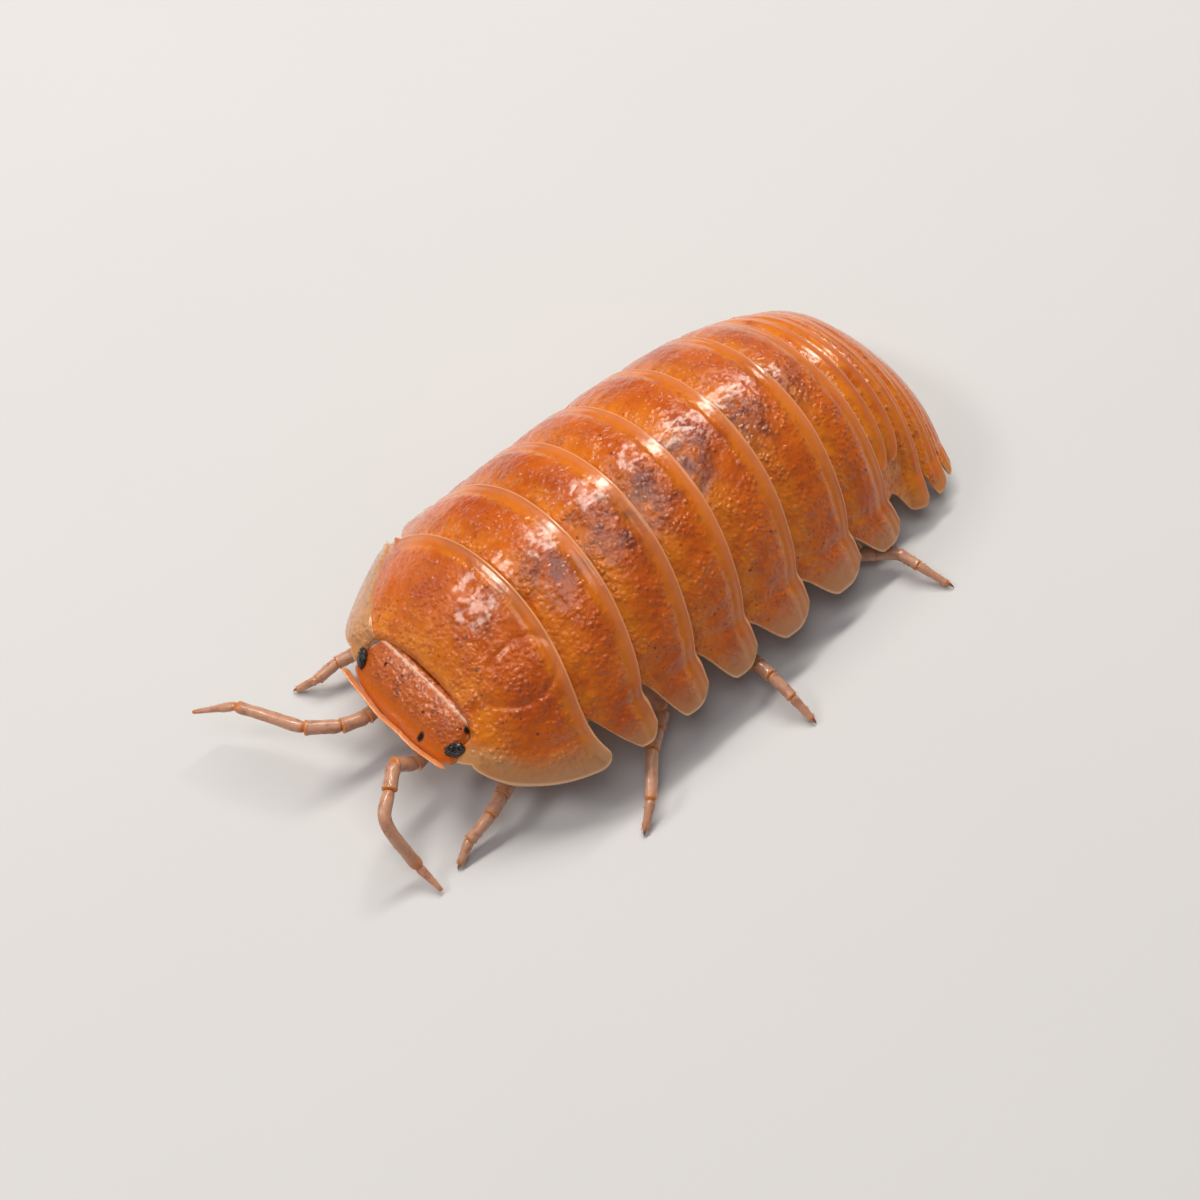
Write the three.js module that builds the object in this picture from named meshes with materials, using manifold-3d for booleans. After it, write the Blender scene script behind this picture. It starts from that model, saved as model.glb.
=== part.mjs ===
// A pill woodlouse standing on its fourteen legs, life size.
// Millimetres. +Z is up, the floor is Z = 0, -Y is the way the animal faces and +X is its left.
import * as THREE from "three";
import { mergeVertices } from "three/addons/utils/BufferGeometryUtils.js";
import Module from "manifold-3d";

const { clamp, lerp, smoothstep } = THREE.MathUtils;

// Driving dimensions.
const PLATE_GAP = 0.27; // clear space between two plates that lie over each other
const RIM_THICKNESS = 0.26; // rear rim of a trunk plate, where it overhangs the next one
const SKIRT_THICKNESS = 0.45; // side lobe of a plate
const LOBE_EDGE_THICKNESS = 0.34; // the same lobe at its free edge
const UNDERLAP = 0.17; // share of a plate's length that its front reaches under the plate before
const OVERHANG_ROOT = 0.66; // share of a plate's length where its rim leaves the flesh
const FLARE_POWER = 6; // how late the side lobes turn outwards
const NOTCH_FRONT = 0.8; // how far down the arch the front edge of plate 2 lies, before its lobe
const NOTCH_REAR = 0.89; // the same on plates 5 to 7, whose lobes are broader
const BELLY_JOIN = 0.86; // place on the arch, from 0 dorsal to 1 lobe tip, where the belly meets the lobes
const TAIL_JOIN = 0.74; // the same on the tail plates, whose underside is hollowed for the gill plates
const BELLY_SAG = 0.18; // how far the belly bulges down between the lobes
const ARCH_STEPS = 26; // facets across a trunk plate
const LEG_SIDES = 7;
const FOOT_RADIUS = 0.12;
const JOINT_GAP = 0.25; // between a limb's root and the face that it grows from

// One row for each rear rim, head to tail. `y` and `top` place the rim on the back, `lobe` is the height of its
// side lobes above the floor, `half` and `flare` give its half width, `lead` is how far the lobes stand ahead,
// `sweep` draws their tips back again, and a lower `power` squares the shoulders of the arch.
const FRONT = { y: -8.45, top: 3.2, lobe: 2.15, half: 2.25, flare: 0.45, lead: -1.05, sweep: 0, power: 0.42 };
const RIMS = [
  FRONT,
  { y: -5.72, top: 5.28, lobe: 1.8, half: 3.95, flare: 1.15, lead: -1.1, sweep: 0.8, power: 0.85 },
  { y: -3.69, top: 5.67, lobe: 1.6, half: 4.15, flare: 1.08, lead: -1.2, sweep: 0.25, power: 0.85 },
  { y: -1.8, top: 5.85, lobe: 1.44, half: 4.22, flare: 1.05, lead: -1.15, sweep: 0.18, power: 0.85 },
  { y: 0, top: 5.86, lobe: 1.32, half: 4.25, flare: 1.05, lead: -1.08, sweep: 0.18, power: 0.85 },
  { y: 2.05, top: 5.75, lobe: 1.19, half: 4.23, flare: 1.05, lead: -1.0, sweep: 0.18, power: 0.85 },
  { y: 4.13, top: 5.38, lobe: 1.05, half: 4.16, flare: 1.02, lead: -0.85, sweep: 0.2, power: 0.85 },
  { y: 5.75, top: 4.66, lobe: 0.96, half: 4.0, flare: 1.0, lead: -0.65, sweep: 0.25, power: 0.85 },
  { y: 6.38, top: 4.36, lobe: 0.92, half: 3.85, flare: 0.9, lead: -0.75, sweep: 0.1, power: 0.85 },
  { y: 6.98, top: 4.02, lobe: 0.82, half: 3.78, flare: 1.0, lead: -0.85, sweep: 0, power: 0.85 },
  { y: 7.68, top: 3.52, lobe: 0.72, half: 3.74, flare: 1.08, lead: -0.95, sweep: 0, power: 0.85 },
  { y: 8.35, top: 2.88, lobe: 0.72, half: 3.62, flare: 1.1, lead: -0.7, sweep: 0, power: 0.85 },
  { y: 8.88, top: 2.15, lobe: 0.7, half: 3.25, flare: 1.0, lead: -0.6, sweep: 0, power: 0.85 },
  { y: 9.25, top: 1.15, lobe: 0.68, half: 2.5, flare: 0.3, lead: -0.45, sweep: 0, power: 0.85 },
];
const PEREONITES = 7;
const PLEONITES = 5;

const COLOURS = {
  shell: new THREE.MeshStandardMaterial({ color: 0xc8641a, roughness: 0.35, metalness: 0 }),
  head: new THREE.MeshStandardMaterial({ color: 0xbe6028, roughness: 0.45, metalness: 0 }),
  limb: new THREE.MeshStandardMaterial({ color: 0xb98672, roughness: 0.4, metalness: 0 }),
  eye: new THREE.MeshStandardMaterial({ color: 0x0a0a0c, roughness: 0.15, metalness: 0 }),
  under: new THREE.MeshStandardMaterial({ color: 0xcf9a6c, roughness: 0.5, metalness: 0 }),
};

/** A closed solid skinned over rings of equally many points. The first half of a ring faces its second half. */
class LoftGeometry extends THREE.BufferGeometry {
  constructor(rings) {
    super();
    const size = rings[0].length;
    const points = rings.flat();
    const faces = [];
    const quad = (a, b, c, d) => faces.push([a, b, c], [a, c, d]);
    for (let r = 0; r + 1 < rings.length; r++) {
      for (let i = 0; i < size; i++) {
        const j = (i + 1) % size;
        quad(r * size + i, r * size + j, (r + 1) * size + j, (r + 1) * size + i);
      }
    }
    const last = (rings.length - 1) * size;
    for (let i = 0; i + 1 < Math.floor(size / 2); i++) {
      quad(i, size - 1 - i, size - 2 - i, i + 1);
      quad(last + i, last + i + 1, last + size - 2 - i, last + size - 1 - i);
    }
    if (size % 2) {
      const middle = (size - 1) / 2;
      faces.push([middle - 1, middle + 1, middle], [last + middle - 1, last + middle, last + middle + 1]);
    }
    let volume = 0;
    for (const [a, b, c] of faces) {
      volume += points[a].dot(new THREE.Vector3().crossVectors(points[b], points[c]));
    }
    const facing = volume < 0 ? faces.map(([a, b, c]) => [a, c, b]) : faces;
    this.setAttribute("position", new THREE.Float32BufferAttribute(points.flatMap((p) => p.toArray()), 3));
    this.setIndex(facing.flat());
    this.computeVertexNormals();
  }
}

/** The arch's sizes at a place along the body: 0 at the first plate's front, then 1, 2, 3 at each rear rim. */
function archAt(place) {
  const row = clamp(Math.floor(place), 0, RIMS.length - 2);
  const share = place - row;
  const swell = row === 0 ? share ** 0.75 : share;
  const mix = (key, by) => lerp(RIMS[row][key], RIMS[row + 1][key], by);
  return {
    y: mix("y", share),
    top: mix("top", swell),
    lobe: mix("lobe", share) - (row === 0 ? 0.4 * Math.sin(Math.PI * share) : 0),
    half: mix("half", row === 0 ? share ** 0.62 : share),
    flare: mix("flare", row === 0 ? Math.sin((share * Math.PI) / 2) : share),
    lead: mix("lead", share),
    sweep: mix("sweep", share),
    power: mix("power", row === 0 ? Math.sqrt(Math.max(share, 0)) : share),
  };
}

/** A point of the dorsal arch. `across` runs from -1 at the right lobe over 0 on the back to 1 at the left lobe. */
function archPoint(place, across) {
  const arch = archAt(place);
  const side = Math.abs(across);
  const angle = (side * Math.PI) / 2;
  const drop = 1 - Math.max(Math.cos(angle), 0) ** arch.power;
  return new THREE.Vector3(
    Math.sign(across) * (arch.half * Math.sin(angle) + arch.flare * side ** FLARE_POWER),
    arch.y + arch.lead * drop + arch.sweep * side ** 10,
    arch.top - (arch.top - arch.lobe) * drop,
  );
}

/** The arch's outward direction, square to the arch across the body. */
function archNormal(place, across) {
  const step = 0.01;
  const a = clamp(across, -0.985, 0.985);
  const tangent = archPoint(place, a + step).sub(archPoint(place, a - step));
  return new THREE.Vector3(-tangent.z, 0, tangent.x).normalize();
}

/** A point below the arch by `depth`. */
function under(place, across, depth) {
  return archPoint(place, across).addScaledVector(archNormal(place, across), -depth);
}

/** A point on the inner face of a plate: the inside of the side lobe, or the belly between the lobes. */
function innerPoint(place, across, sink, bellyY, join = BELLY_JOIN) {
  const side = Math.abs(across);
  if (side >= join) {
    const thickness = lerp(SKIRT_THICKNESS, LOBE_EDGE_THICKNESS, (side - join) / (1 - join));
    return under(place, across, sink + thickness);
  }
  const corner = under(place, join, sink + SKIRT_THICKNESS);
  const share = across / join;
  const y = bellyY === undefined ? corner.y : lerp(bellyY, corner.y, Math.abs(share) ** 4);
  return new THREE.Vector3(corner.x * share, y, corner.z - BELLY_SAG * (1 - share * share));
}

/** How far a plate lies under the smooth arch, so that its front passes below the rim before it. */
function sinkOf(along, step) {
  return step * (1 - clamp(along, 0, 1)) ** 2.4 - 0.06 * Math.sin(Math.PI * clamp(along, 0, 1));
}

/** How far down the arch trunk plate `number` reaches at a place along it: a notch in front, then a rounded lobe. */
function lobeReach(along, number) {
  const notch = lerp(NOTCH_FRONT, NOTCH_REAR, smoothstep(number, 2, 5));
  const rise = smoothstep(along, -0.05, 0.5);
  const corner = 0.045 * clamp((along - 0.8) / 0.2, 0, 1) ** 2;
  return lerp(notch, 1, rise) - corner;
}

/** The first plate's free edge runs on down to the head, with rounded corners. */
function firstReach(along) {
  return 1 - 0.06 * clamp((along - 0.85) / 0.15, 0, 1) ** 2 - 0.03 * clamp((0.12 - along) / 0.12, 0, 1);
}

/** A trunk plate with its flesh and belly: rings that run front to back and over the rim, set side by side. */
function pereonite(number) {
  const first = number === 1;
  const step = first ? 0 : RIM_THICKNESS + PLATE_GAP;
  const reach = first ? firstReach : lobeReach;
  const start = first ? 0 : -UNDERLAP;
  const outer = [start, first ? 0.12 : 0.03, 0.25, 0.48, 0.7, 0.88, 1];
  const underRim = [1, 0.86, OVERHANG_ROOT + 0.02];
  const belly = [OVERHANG_ROOT, 0.42, 0.15, start];
  const rings = [];
  for (let i = 0; i <= ARCH_STEPS; i++) {
    const across = (2 * i) / ARCH_STEPS - 1;
    const place = (along) => number - 1 + along;
    const outside = outer.map((u) => under(place(u), across * reach(u, number), sinkOf(u, step)));
    const rim = underRim.map((u) => under(place(u), across * reach(u, number), RIM_THICKNESS));
    const inside = belly.map((u) => {
      const neck = first && u < 0.3 ? lerp(-8.05, -7.6, u / 0.3) : undefined;
      return innerPoint(place(u), across * reach(u, number), sinkOf(u, step), neck);
    });
    rings.push([...outside, ...rim, ...inside]);
  }
  return new LoftGeometry(rings);
}

/**
 * A tail plate: a short arch whose front edge is sunk, with side lobes on the last three. The lobes of the third
 * start further forward, behind the last trunk plate, because the first two plates have none.
 */
function pleonite(number) {
  const rim = PEREONITES + number;
  const lobed = number > 2;
  const length = archPoint(rim, 0).distanceTo(archPoint(rim - 1, 0));
  const end = 1 - PLATE_GAP / length;
  const reach = (u) => {
    if (!lobed) return 0.7;
    return number === 3 ? lerp(0.93, 0.99, smoothstep(u, -0.9, 0.4)) : lerp(0.84, 0.99, smoothstep(u, 0, 0.55));
  };
  const rings = [];
  const steps = 22;
  for (let i = 0; i <= steps; i++) {
    const across = (2 * i) / steps - 1;
    const place = (u) => rim - 1 + u;
    const front = number === 3 ? lerp(0.04, -0.9, smoothstep(Math.abs(across), 0.78, 0.9)) : 0.04;
    const outer = [0, 0.3, 0.65, 1].map((share) => lerp(front, end, share));
    const outside = outer.map((u) => under(place(u), across * reach(u), sinkOf(u / end, 0.3)));
    const inside = [...outer].reverse().map((u) => {
      return innerPoint(place(u), across * reach(u), sinkOf(u / end, 0.3), undefined, TAIL_JOIN);
    });
    rings.push([...outside, ...inside]);
  }
  return new LoftGeometry(rings);
}

/** A plate of the tail fan between two places on the arch, as thick as a lobe. */
function fanPlate(inner, outer, steps) {
  const along = [0.12, 0.4, 0.7, 1];
  const rings = [];
  for (let i = 0; i <= steps; i++) {
    const share = i / steps;
    const place = (u) => PEREONITES + PLEONITES + u;
    const across = (u) => lerp(inner(u), outer(u), share);
    const top = along.map((u) => under(place(u), across(u), 0.1 * (1 - u)));
    const bottom = [...along].reverse().map((u) => under(place(u), across(u), 0.1 + SKIRT_THICKNESS));
    rings.push([...top, ...bottom]);
  }
  return new LoftGeometry(rings);
}

/** A tube through `path` whose section at each point has the radius in `radii`, with flat ends. */
function tube(path, radii, ends = {}) {
  let wide = new THREE.Vector3(0.3, 0.2, 1);
  const rings = path.map((point, i) => {
    const before = path[Math.max(i - 1, 0)];
    const after = path[Math.min(i + 1, path.length - 1)];
    let along = after.clone().sub(before).normalize();
    if (i === 0 && ends.first) along = ends.first;
    if (i === path.length - 1 && ends.last) along = ends.last;
    if (i === 0) wide = new THREE.Vector3().crossVectors(along, new THREE.Vector3(0.1, 0.9, 0.3));
    wide = wide.clone().addScaledVector(along, -wide.dot(along)).normalize();
    const high = new THREE.Vector3().crossVectors(along, wide);
    return Array.from({ length: LEG_SIDES }, (_, k) => {
      const turn = (2 * Math.PI * k) / LEG_SIDES;
      return point
        .clone()
        .addScaledVector(wide, radii[i] * Math.cos(turn))
        .addScaledVector(high, radii[i] * Math.sin(turn));
    });
  });
  return new LoftGeometry(rings);
}

/** A solid for manifold-3d, from a closed geometry. */
function solidOf(wasm, geometry) {
  const bare = new THREE.BufferGeometry();
  bare.setAttribute("position", geometry.getAttribute("position").clone());
  bare.setIndex(geometry.index ? geometry.index.clone() : null);
  const merged = mergeVertices(bare, 1e-5);
  const mesh = new wasm.Mesh({
    numProp: 3,
    vertProperties: merged.attributes.position.array,
    triVerts: new Uint32Array(merged.index.array),
  });
  return new wasm.Manifold(mesh);
}

/** The geometry of a solid that manifold-3d made. */
function geometryOf(solid) {
  const mesh = solid.getMesh();
  const geometry = new THREE.BufferGeometry();
  geometry.setAttribute("position", new THREE.BufferAttribute(mesh.vertProperties.slice(), 3));
  geometry.setIndex(new THREE.BufferAttribute(mesh.triVerts.slice(), 1));
  geometry.computeVertexNormals();
  return geometry;
}

// The head: profile points from the frontal ridge over the crown to the nape, then back under the chin.
const HEAD_WIDTH = 2.04; // half, at the eyes
const RIDGE_WIDTH = 2.2; // half, along the frontal ridge
const CHIN_WIDTH = 1.45;
const HEAD_MIDDLE = { y: -9.22, z: 2.15, reach: 0.78 };
const EYE = { x: 2.0, y: -9.28, z: 2.52, lateral: 0.2, long: 0.36, high: 0.25 };
const EYE_GAP = 0.1;
const HEAD_GAP = 0.2; // between the head and the first plate, which is hollowed for it
const CROWN = [
  [-9.97, 2.08],
  [-9.86, 2.26],
  [-9.68, 2.3],
  [-9.4, 2.54],
  [-9.05, 2.8],
  [-8.72, 2.99],
  [-8.54, 2.92],
];
const CHIN = [
  [-8.48, 2.4],
  [-8.45, 1.7],
  [-8.75, 1.42],
  [-9.15, 1.38],
  [-9.45, 1.5],
  [-9.56, 1.8],
  [-9.72, 1.98],
];

/** The head as one solid before its eye sockets are cut, or grown by `extra` for the hollow that it sits in. */
function headBlank(extra = 0) {
  const steps = 18;
  const size = 1 + extra / HEAD_MIDDLE.reach;
  const place = (x, y, z) => {
    const grownY = HEAD_MIDDLE.y + (y - HEAD_MIDDLE.y) * size;
    return new THREE.Vector3(x, grownY, HEAD_MIDDLE.z + (z - HEAD_MIDDLE.z) * size);
  };
  const rings = [];
  for (let i = 0; i <= steps; i++) {
    const q = Math.sin(((2 * i) / steps - 1) * (Math.PI / 2));
    const round = Math.abs(q) ** 8;
    const crown = CROWN.map(([y, z], k) => {
      const width = (k < 2 ? RIDGE_WIDTH : HEAD_WIDTH) + extra;
      const nape = clamp((k - 3) / 3, 0, 1);
      return place(q * (width - 0.12 * nape), y - 0.26 * round * nape, z - (k < 2 ? 0 : 0.2) * round);
    });
    const chin = CHIN.map(([y, z], k) => {
      const cheek = lerp(HEAD_WIDTH - 0.12, CHIN_WIDTH, clamp(k / 2, 0, 1));
      const width = (k === 6 ? RIDGE_WIDTH - 0.05 : cheek) + extra;
      return place(q * width, y - (k < 2 ? 0.26 * round : 0), z + (k < 5 ? 0.15 : 0) * round);
    });
    rings.push([...crown, ...chin]);
  }
  return new LoftGeometry(rings);
}

/** An eye: a low oval dome, grown by `extra` for its socket. */
function eyeball(side, extra) {
  const ball = new THREE.SphereGeometry(1, 12, 8);
  ball.deleteAttribute("normal");
  ball.deleteAttribute("uv");
  ball.scale(EYE.lateral + extra, EYE.long + extra, EYE.high + extra);
  ball.rotateX(-0.5);
  ball.translate(side * EYE.x, EYE.y, EYE.z);
  return mergeVertices(ball, 1e-5);
}

/** The mouthparts: two jaw legs side by side under the chin. */
function mouthparts() {
  const stations = [
    [-9.35, 0.5, 0.3],
    [-9.1, 0.75, 0.45],
    [-8.6, 0.85, 0.5],
    [-8.3, 0.6, 0.4],
  ];
  const top = 1.12;
  const rings = stations.map(([y, wide, deep]) => {
    const upper = [-1, -0.5, 0, 0.5, 1].map((q) => new THREE.Vector3(q * wide, y, top));
    const lower = [1, 0.5, 0, -0.5, -1].map((q) => {
      const lobe = q === 0 ? 0.7 : 1 - 0.4 * Math.abs(q) ** 3;
      return new THREE.Vector3(q * wide, y, top - deep * lobe);
    });
    return [...upper, ...lower];
  });
  return new LoftGeometry(rings);
}

/** The gill plates under the tail: five pairs that overlap like tiles, with a groove between left and right. */
function pleopods() {
  const rings = [];
  const plates = 5;
  for (let i = 0; i <= plates; i++) {
    const ends = i === 0 ? [0.15] : i === plates ? [-0.1] : [-0.1, 0.1];
    for (const shift of ends) {
      const place = lerp(8.2, 11.5, (i + shift) / plates);
      const belly = innerPoint(place, 0, 0.3, undefined, TAIL_JOIN);
      const wide = lerp(2.0, 1.3, i / plates);
      const top = belly.z - 0.3;
      const deep = Math.min(shift < 0 ? 0.58 : 0.42, top - 0.25);
      const upper = [-1, -0.4, 0, 0.4, 1].map((q) => new THREE.Vector3(q * wide, belly.y, top));
      const lower = [1, 0.4, 0, -0.4, -1].map((q) => {
        const z = top - deep * (q === 0 ? 0.8 : 1 - 0.45 * Math.abs(q) ** 3);
        return new THREE.Vector3(q * wide, belly.y, z);
      });
      rings.push([...upper, ...lower]);
    }
  }
  return new LoftGeometry(rings);
}

/** A jointed limb: each article swells a little towards its far end. */
function limb(joints, radii, ends) {
  const path = [];
  const thick = [];
  for (let i = 0; i + 1 < joints.length; i++) {
    const from = joints[i];
    const to = joints[i + 1];
    path.push(from.clone().lerp(to, i === 0 ? 0 : 0.06), from.clone().lerp(to, 0.9));
    thick.push(radii[i] * (i === 0 ? 1 : 0.86), lerp(radii[i], radii[i + 1], 0.6) * 1.1);
  }
  for (const [i, point] of path.entries()) point.z = Math.max(point.z, thick[i] + 0.04);
  path.push(joints[joints.length - 1].clone());
  thick.push(radii[radii.length - 1]);
  return tube(path, thick, ends);
}

// The walking pose: for each leg, front to back, its joints from below the flank out to the foot.
const STANCE = {
  left: [
    [[3.0, -8.35, 1.0], [3.4, -9.45, 0.85], [3.43, -10.28, 0.52], [3.67, -10.98, 0]],
    [[3.1, -6.5, 1.0], [3.45, -6.5, 0.85], [3.6, -6.45, 0.5], [3.75, -6.4, 0]],
    [[4.35, -3.95, 0.95], [5.05, -4.98, 1.02], [6.0, -5.94, 0.6], [6.46, -6.66, 0]],
    [[3.45, -2.5, 0.9], [3.9, -2.7, 0.75], [4.1, -2.8, 0.45], [4.22, -2.88, 0]],
    [[4.6, -0.9, 0.75], [5.6, -0.9, 0.82], [6.42, -0.87, 0.58], [7.3, -0.77, 0]],
    [[3.4, 1.7, 0.8], [3.8, 1.85, 0.68], [3.98, 1.95, 0.42], [4.1, 2.05, 0]],
    [[4.35, 3.95, 0.58], [5.15, 4.85, 0.55], [5.85, 4.98, 0.5], [6.95, 5.4, 0]],
  ],
  right: [
    [[-3.0, -8.4, 1.0], [-3.35, -9.5, 0.85], [-3.52, -10.15, 0.5], [-3.96, -10.84, 0]],
    [[-3.7, -6.0, 1.0], [-4.4, -5.75, 0.85], [-4.85, -5.6, 0.5], [-5.15, -5.45, 0]],
    [[-3.6, -4.7, 0.95], [-4.2, -5.0, 0.8], [-4.6, -5.15, 0.45], [-4.9, -5.3, 0]],
    [[-3.7, -1.9, 0.9], [-4.4, -1.6, 0.75], [-4.85, -1.4, 0.45], [-5.2, -1.2, 0]],
    [[-3.6, 0.1, 0.85], [-4.2, 0.35, 0.7], [-4.6, 0.5, 0.42], [-4.9, 0.6, 0]],
    [[-3.6, 1.6, 0.8], [-4.2, 1.75, 0.68], [-4.6, 1.85, 0.42], [-4.95, 1.95, 0]],
    [[-3.6, 4.2, 0.7], [-4.2, 4.7, 0.6], [-4.6, 5.0, 0.42], [-4.95, 5.3, 0]],
  ],
};
const LEG_RADII = [0.34, 0.26, 0.21, 0.18, FOOT_RADIUS];

/** A leg of trunk plate `number`, from the belly out below the side lobe and down to its foot. */
function leg(number, side) {
  const stance = STANCE[side > 0 ? "left" : "right"][number - 1].map((p) => new THREE.Vector3(...p));
  const root = innerPoint(number - 1 + (number === 1 ? 0.5 : 0.3), side * 0.55, 0);
  root.z -= JOINT_GAP + 0.06;
  const down = new THREE.Vector3(0, 0, -1);
  return limb([root, ...stance], LEG_RADII, { first: down, last: down });
}

// The feelers, from the socket under the frontal ridge out to the tip.
const ANTENNAE = {
  left: [
    [1.05, -9.84, 1.5],
    [1.1, -10.12, 1.55],
    [0.98, -10.68, 2.05],
    [1.5, -11.25, 2.05],
    [2.1, -11.88, 1.85],
    [3.1, -11.8, 0.5],
    [3.86, -11.72, 0.14],
  ],
  right: [
    [-1.0, -9.84, 1.5],
    [-0.97, -10.15, 1.55],
    [-1.14, -10.9, 1.72],
    [-1.74, -11.7, 1.85],
    [-2.6, -12.13, 1.85],
    [-3.63, -12.65, 1.85],
    [-4.63, -13.55, 1.35],
  ],
};
const ANTENNA_RADII = [0.26, 0.24, 0.23, 0.22, 0.21, 0.18, 0.08];

/** A feeler of five articles and a pointed whip. */
function antenna(side) {
  const joints = ANTENNAE[side > 0 ? "left" : "right"].map((p) => new THREE.Vector3(...p));
  return limb(joints, ANTENNA_RADII, { first: new THREE.Vector3(0, -1, 0) });
}

/** Adds a named mesh to the animal. */
function add(group, name, geometry, material) {
  const mesh = new THREE.Mesh(geometry, material);
  mesh.name = name;
  group.add(mesh);
}

const wasm = await Module();
wasm.setup();

const woodlouse = new THREE.Group();
woodlouse.name = "woodlouse";

let head = solidOf(wasm, headBlank());
let firstPlate = solidOf(wasm, pereonite(1)).subtract(solidOf(wasm, headBlank(HEAD_GAP)));
for (const side of [1, -1]) {
  head = head.subtract(solidOf(wasm, eyeball(side, EYE_GAP)));
  firstPlate = firstPlate.subtract(solidOf(wasm, eyeball(side, HEAD_GAP)));
}
add(woodlouse, "head", geometryOf(head), COLOURS.head);
add(woodlouse, "pereonite_1", geometryOf(firstPlate), COLOURS.shell);
add(woodlouse, "mouthparts", mouthparts(), COLOURS.under);
for (let number = 2; number <= PEREONITES; number++) {
  add(woodlouse, `pereonite_${number}`, pereonite(number), COLOURS.shell);
}
for (let number = 1; number <= PLEONITES; number++) {
  add(woodlouse, `pleonite_${number}`, pleonite(number), COLOURS.shell);
}
add(woodlouse, "telson", fanPlate((u) => lerp(-0.36, -0.2, u), (u) => lerp(0.36, 0.2, u), 8), COLOURS.shell);
add(woodlouse, "pleopods", pleopods(), COLOURS.under);
for (const [word, side] of [["left", 1], ["right", -1]]) {
  add(woodlouse, `eye_${word}`, eyeball(side, 0), COLOURS.eye);
  add(woodlouse, `antenna_${word}`, antenna(side), COLOURS.limb);
  const uropod = fanPlate((u) => side * lerp(0.46, 0.32, u), (u) => side * lerp(0.82, 0.66, u), 6);
  add(woodlouse, `uropod_${word}`, uropod, COLOURS.shell);
  for (let number = 1; number <= PEREONITES; number++) {
    add(woodlouse, `leg_${word}_${number}`, leg(number, side), COLOURS.limb);
  }
}

// The origin is on the floor below the middle of the whole animal.
const extent = new THREE.Box3().setFromObject(woodlouse);
const middle = extent.getCenter(new THREE.Vector3());
woodlouse.position.set(-middle.x, -middle.y, -extent.min.z);

export default woodlouse;
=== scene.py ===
"""Looks of a life-size orange pill woodlouse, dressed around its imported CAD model.

The shell plates, head, eyes, feelers, legs and underside are worked out as surfaces in millimetres, in the
animal's own frame: +Z up, -Y the way it faces, +X its left, and x = 0 on its midline. `Ground` carries them into
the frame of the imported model, in metres.
"""

import logging
from dataclasses import dataclass, field
from enum import Enum
from typing import Any

import bpy
import numpy as np
from mathutils import Matrix, Vector


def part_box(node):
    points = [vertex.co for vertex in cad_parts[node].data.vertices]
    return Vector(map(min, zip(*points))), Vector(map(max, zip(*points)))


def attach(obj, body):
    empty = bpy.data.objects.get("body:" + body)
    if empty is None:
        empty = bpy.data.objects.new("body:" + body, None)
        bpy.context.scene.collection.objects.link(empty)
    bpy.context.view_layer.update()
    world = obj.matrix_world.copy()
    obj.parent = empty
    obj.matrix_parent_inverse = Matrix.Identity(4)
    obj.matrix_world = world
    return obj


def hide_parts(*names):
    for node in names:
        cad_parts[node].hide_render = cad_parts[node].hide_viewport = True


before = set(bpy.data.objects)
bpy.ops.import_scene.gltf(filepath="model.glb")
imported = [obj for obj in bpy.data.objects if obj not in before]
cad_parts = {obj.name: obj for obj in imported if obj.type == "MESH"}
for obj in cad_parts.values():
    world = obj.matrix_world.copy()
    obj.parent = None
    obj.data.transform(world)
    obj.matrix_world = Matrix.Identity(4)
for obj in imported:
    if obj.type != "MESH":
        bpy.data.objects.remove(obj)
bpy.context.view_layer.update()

Array = np.ndarray
LOG = logging.getLogger("woodlouse")
MM = 0.001
ROOT = "root"
SIDES = {"left": 1.0, "right": -1.0}


class Slot(Enum):
    """Names of the material slots."""

    SHELL = "shell"
    HEAD = "head"
    LIMB = "limb"
    EYE = "eye"
    UNDER = "under"


# ---------------------------------------------------------------- numbers


def blend(low: Array | float, high: Array | float, share: Array | float) -> Array:
    """Straight mix of two values: low at share 0, high at share 1."""
    return low + (high - low) * share


def ease(value: Array, start: float, end: float) -> Array:
    """Smooth step: 0 before start, 1 after end, with a cubic in between."""
    share = np.clip((value - start) / (end - start), 0.0, 1.0)
    return share * share * (3.0 - 2.0 * share)


def bell(value: Array, centre: float, width: float) -> Array:
    """Smooth bump of height 1 at centre: exp(-((value - centre) / width)^2)."""
    return np.exp(-(((value - centre) / width) ** 2))


def crowded(count: int, pull: float) -> Array:
    """Steps from 0 to 1 that crowd at both ends: t - pull sin(2 pi t) / (2 pi).

    Args:
        count: How many steps.
        pull: 0 for even steps, near 1 for very close ones at the ends.

    Returns:
        The steps.
    """
    even = np.linspace(0.0, 1.0, count)
    return even - pull * np.sin(2.0 * np.pi * even) / (2.0 * np.pi)


def turns(count: int) -> Array:
    """Even angles over a full turn."""
    return np.linspace(0.0, 2.0 * np.pi, count, endpoint=False)


def unit(vectors: Array) -> Array:
    """Vectors at length 1."""
    return vectors / np.maximum(np.linalg.norm(vectors, axis=-1, keepdims=True), 1e-12)


def lattice_hash(cells: Array, seed: int) -> Array:
    """A number from 0 to 1 for each whole-number cell, from mixed and wrapped integer products.

    Args:
        cells: Whole numbers, three in the last axis.
        seed: Picks the pattern.

    Returns:
        One number per cell.
    """
    mixed = cells[..., 0] * 73856093 ^ cells[..., 1] * 19349663 ^ cells[..., 2] * 83492791 ^ seed * 2654435761
    mixed = (mixed ^ (mixed >> 13)) * 1274126177 & 0x7FFFFFFF
    mixed = (mixed ^ (mixed >> 16)) * 668265263 & 0x7FFFFFFF
    return (mixed ^ (mixed >> 15)) / float(0x7FFFFFFF)


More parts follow.
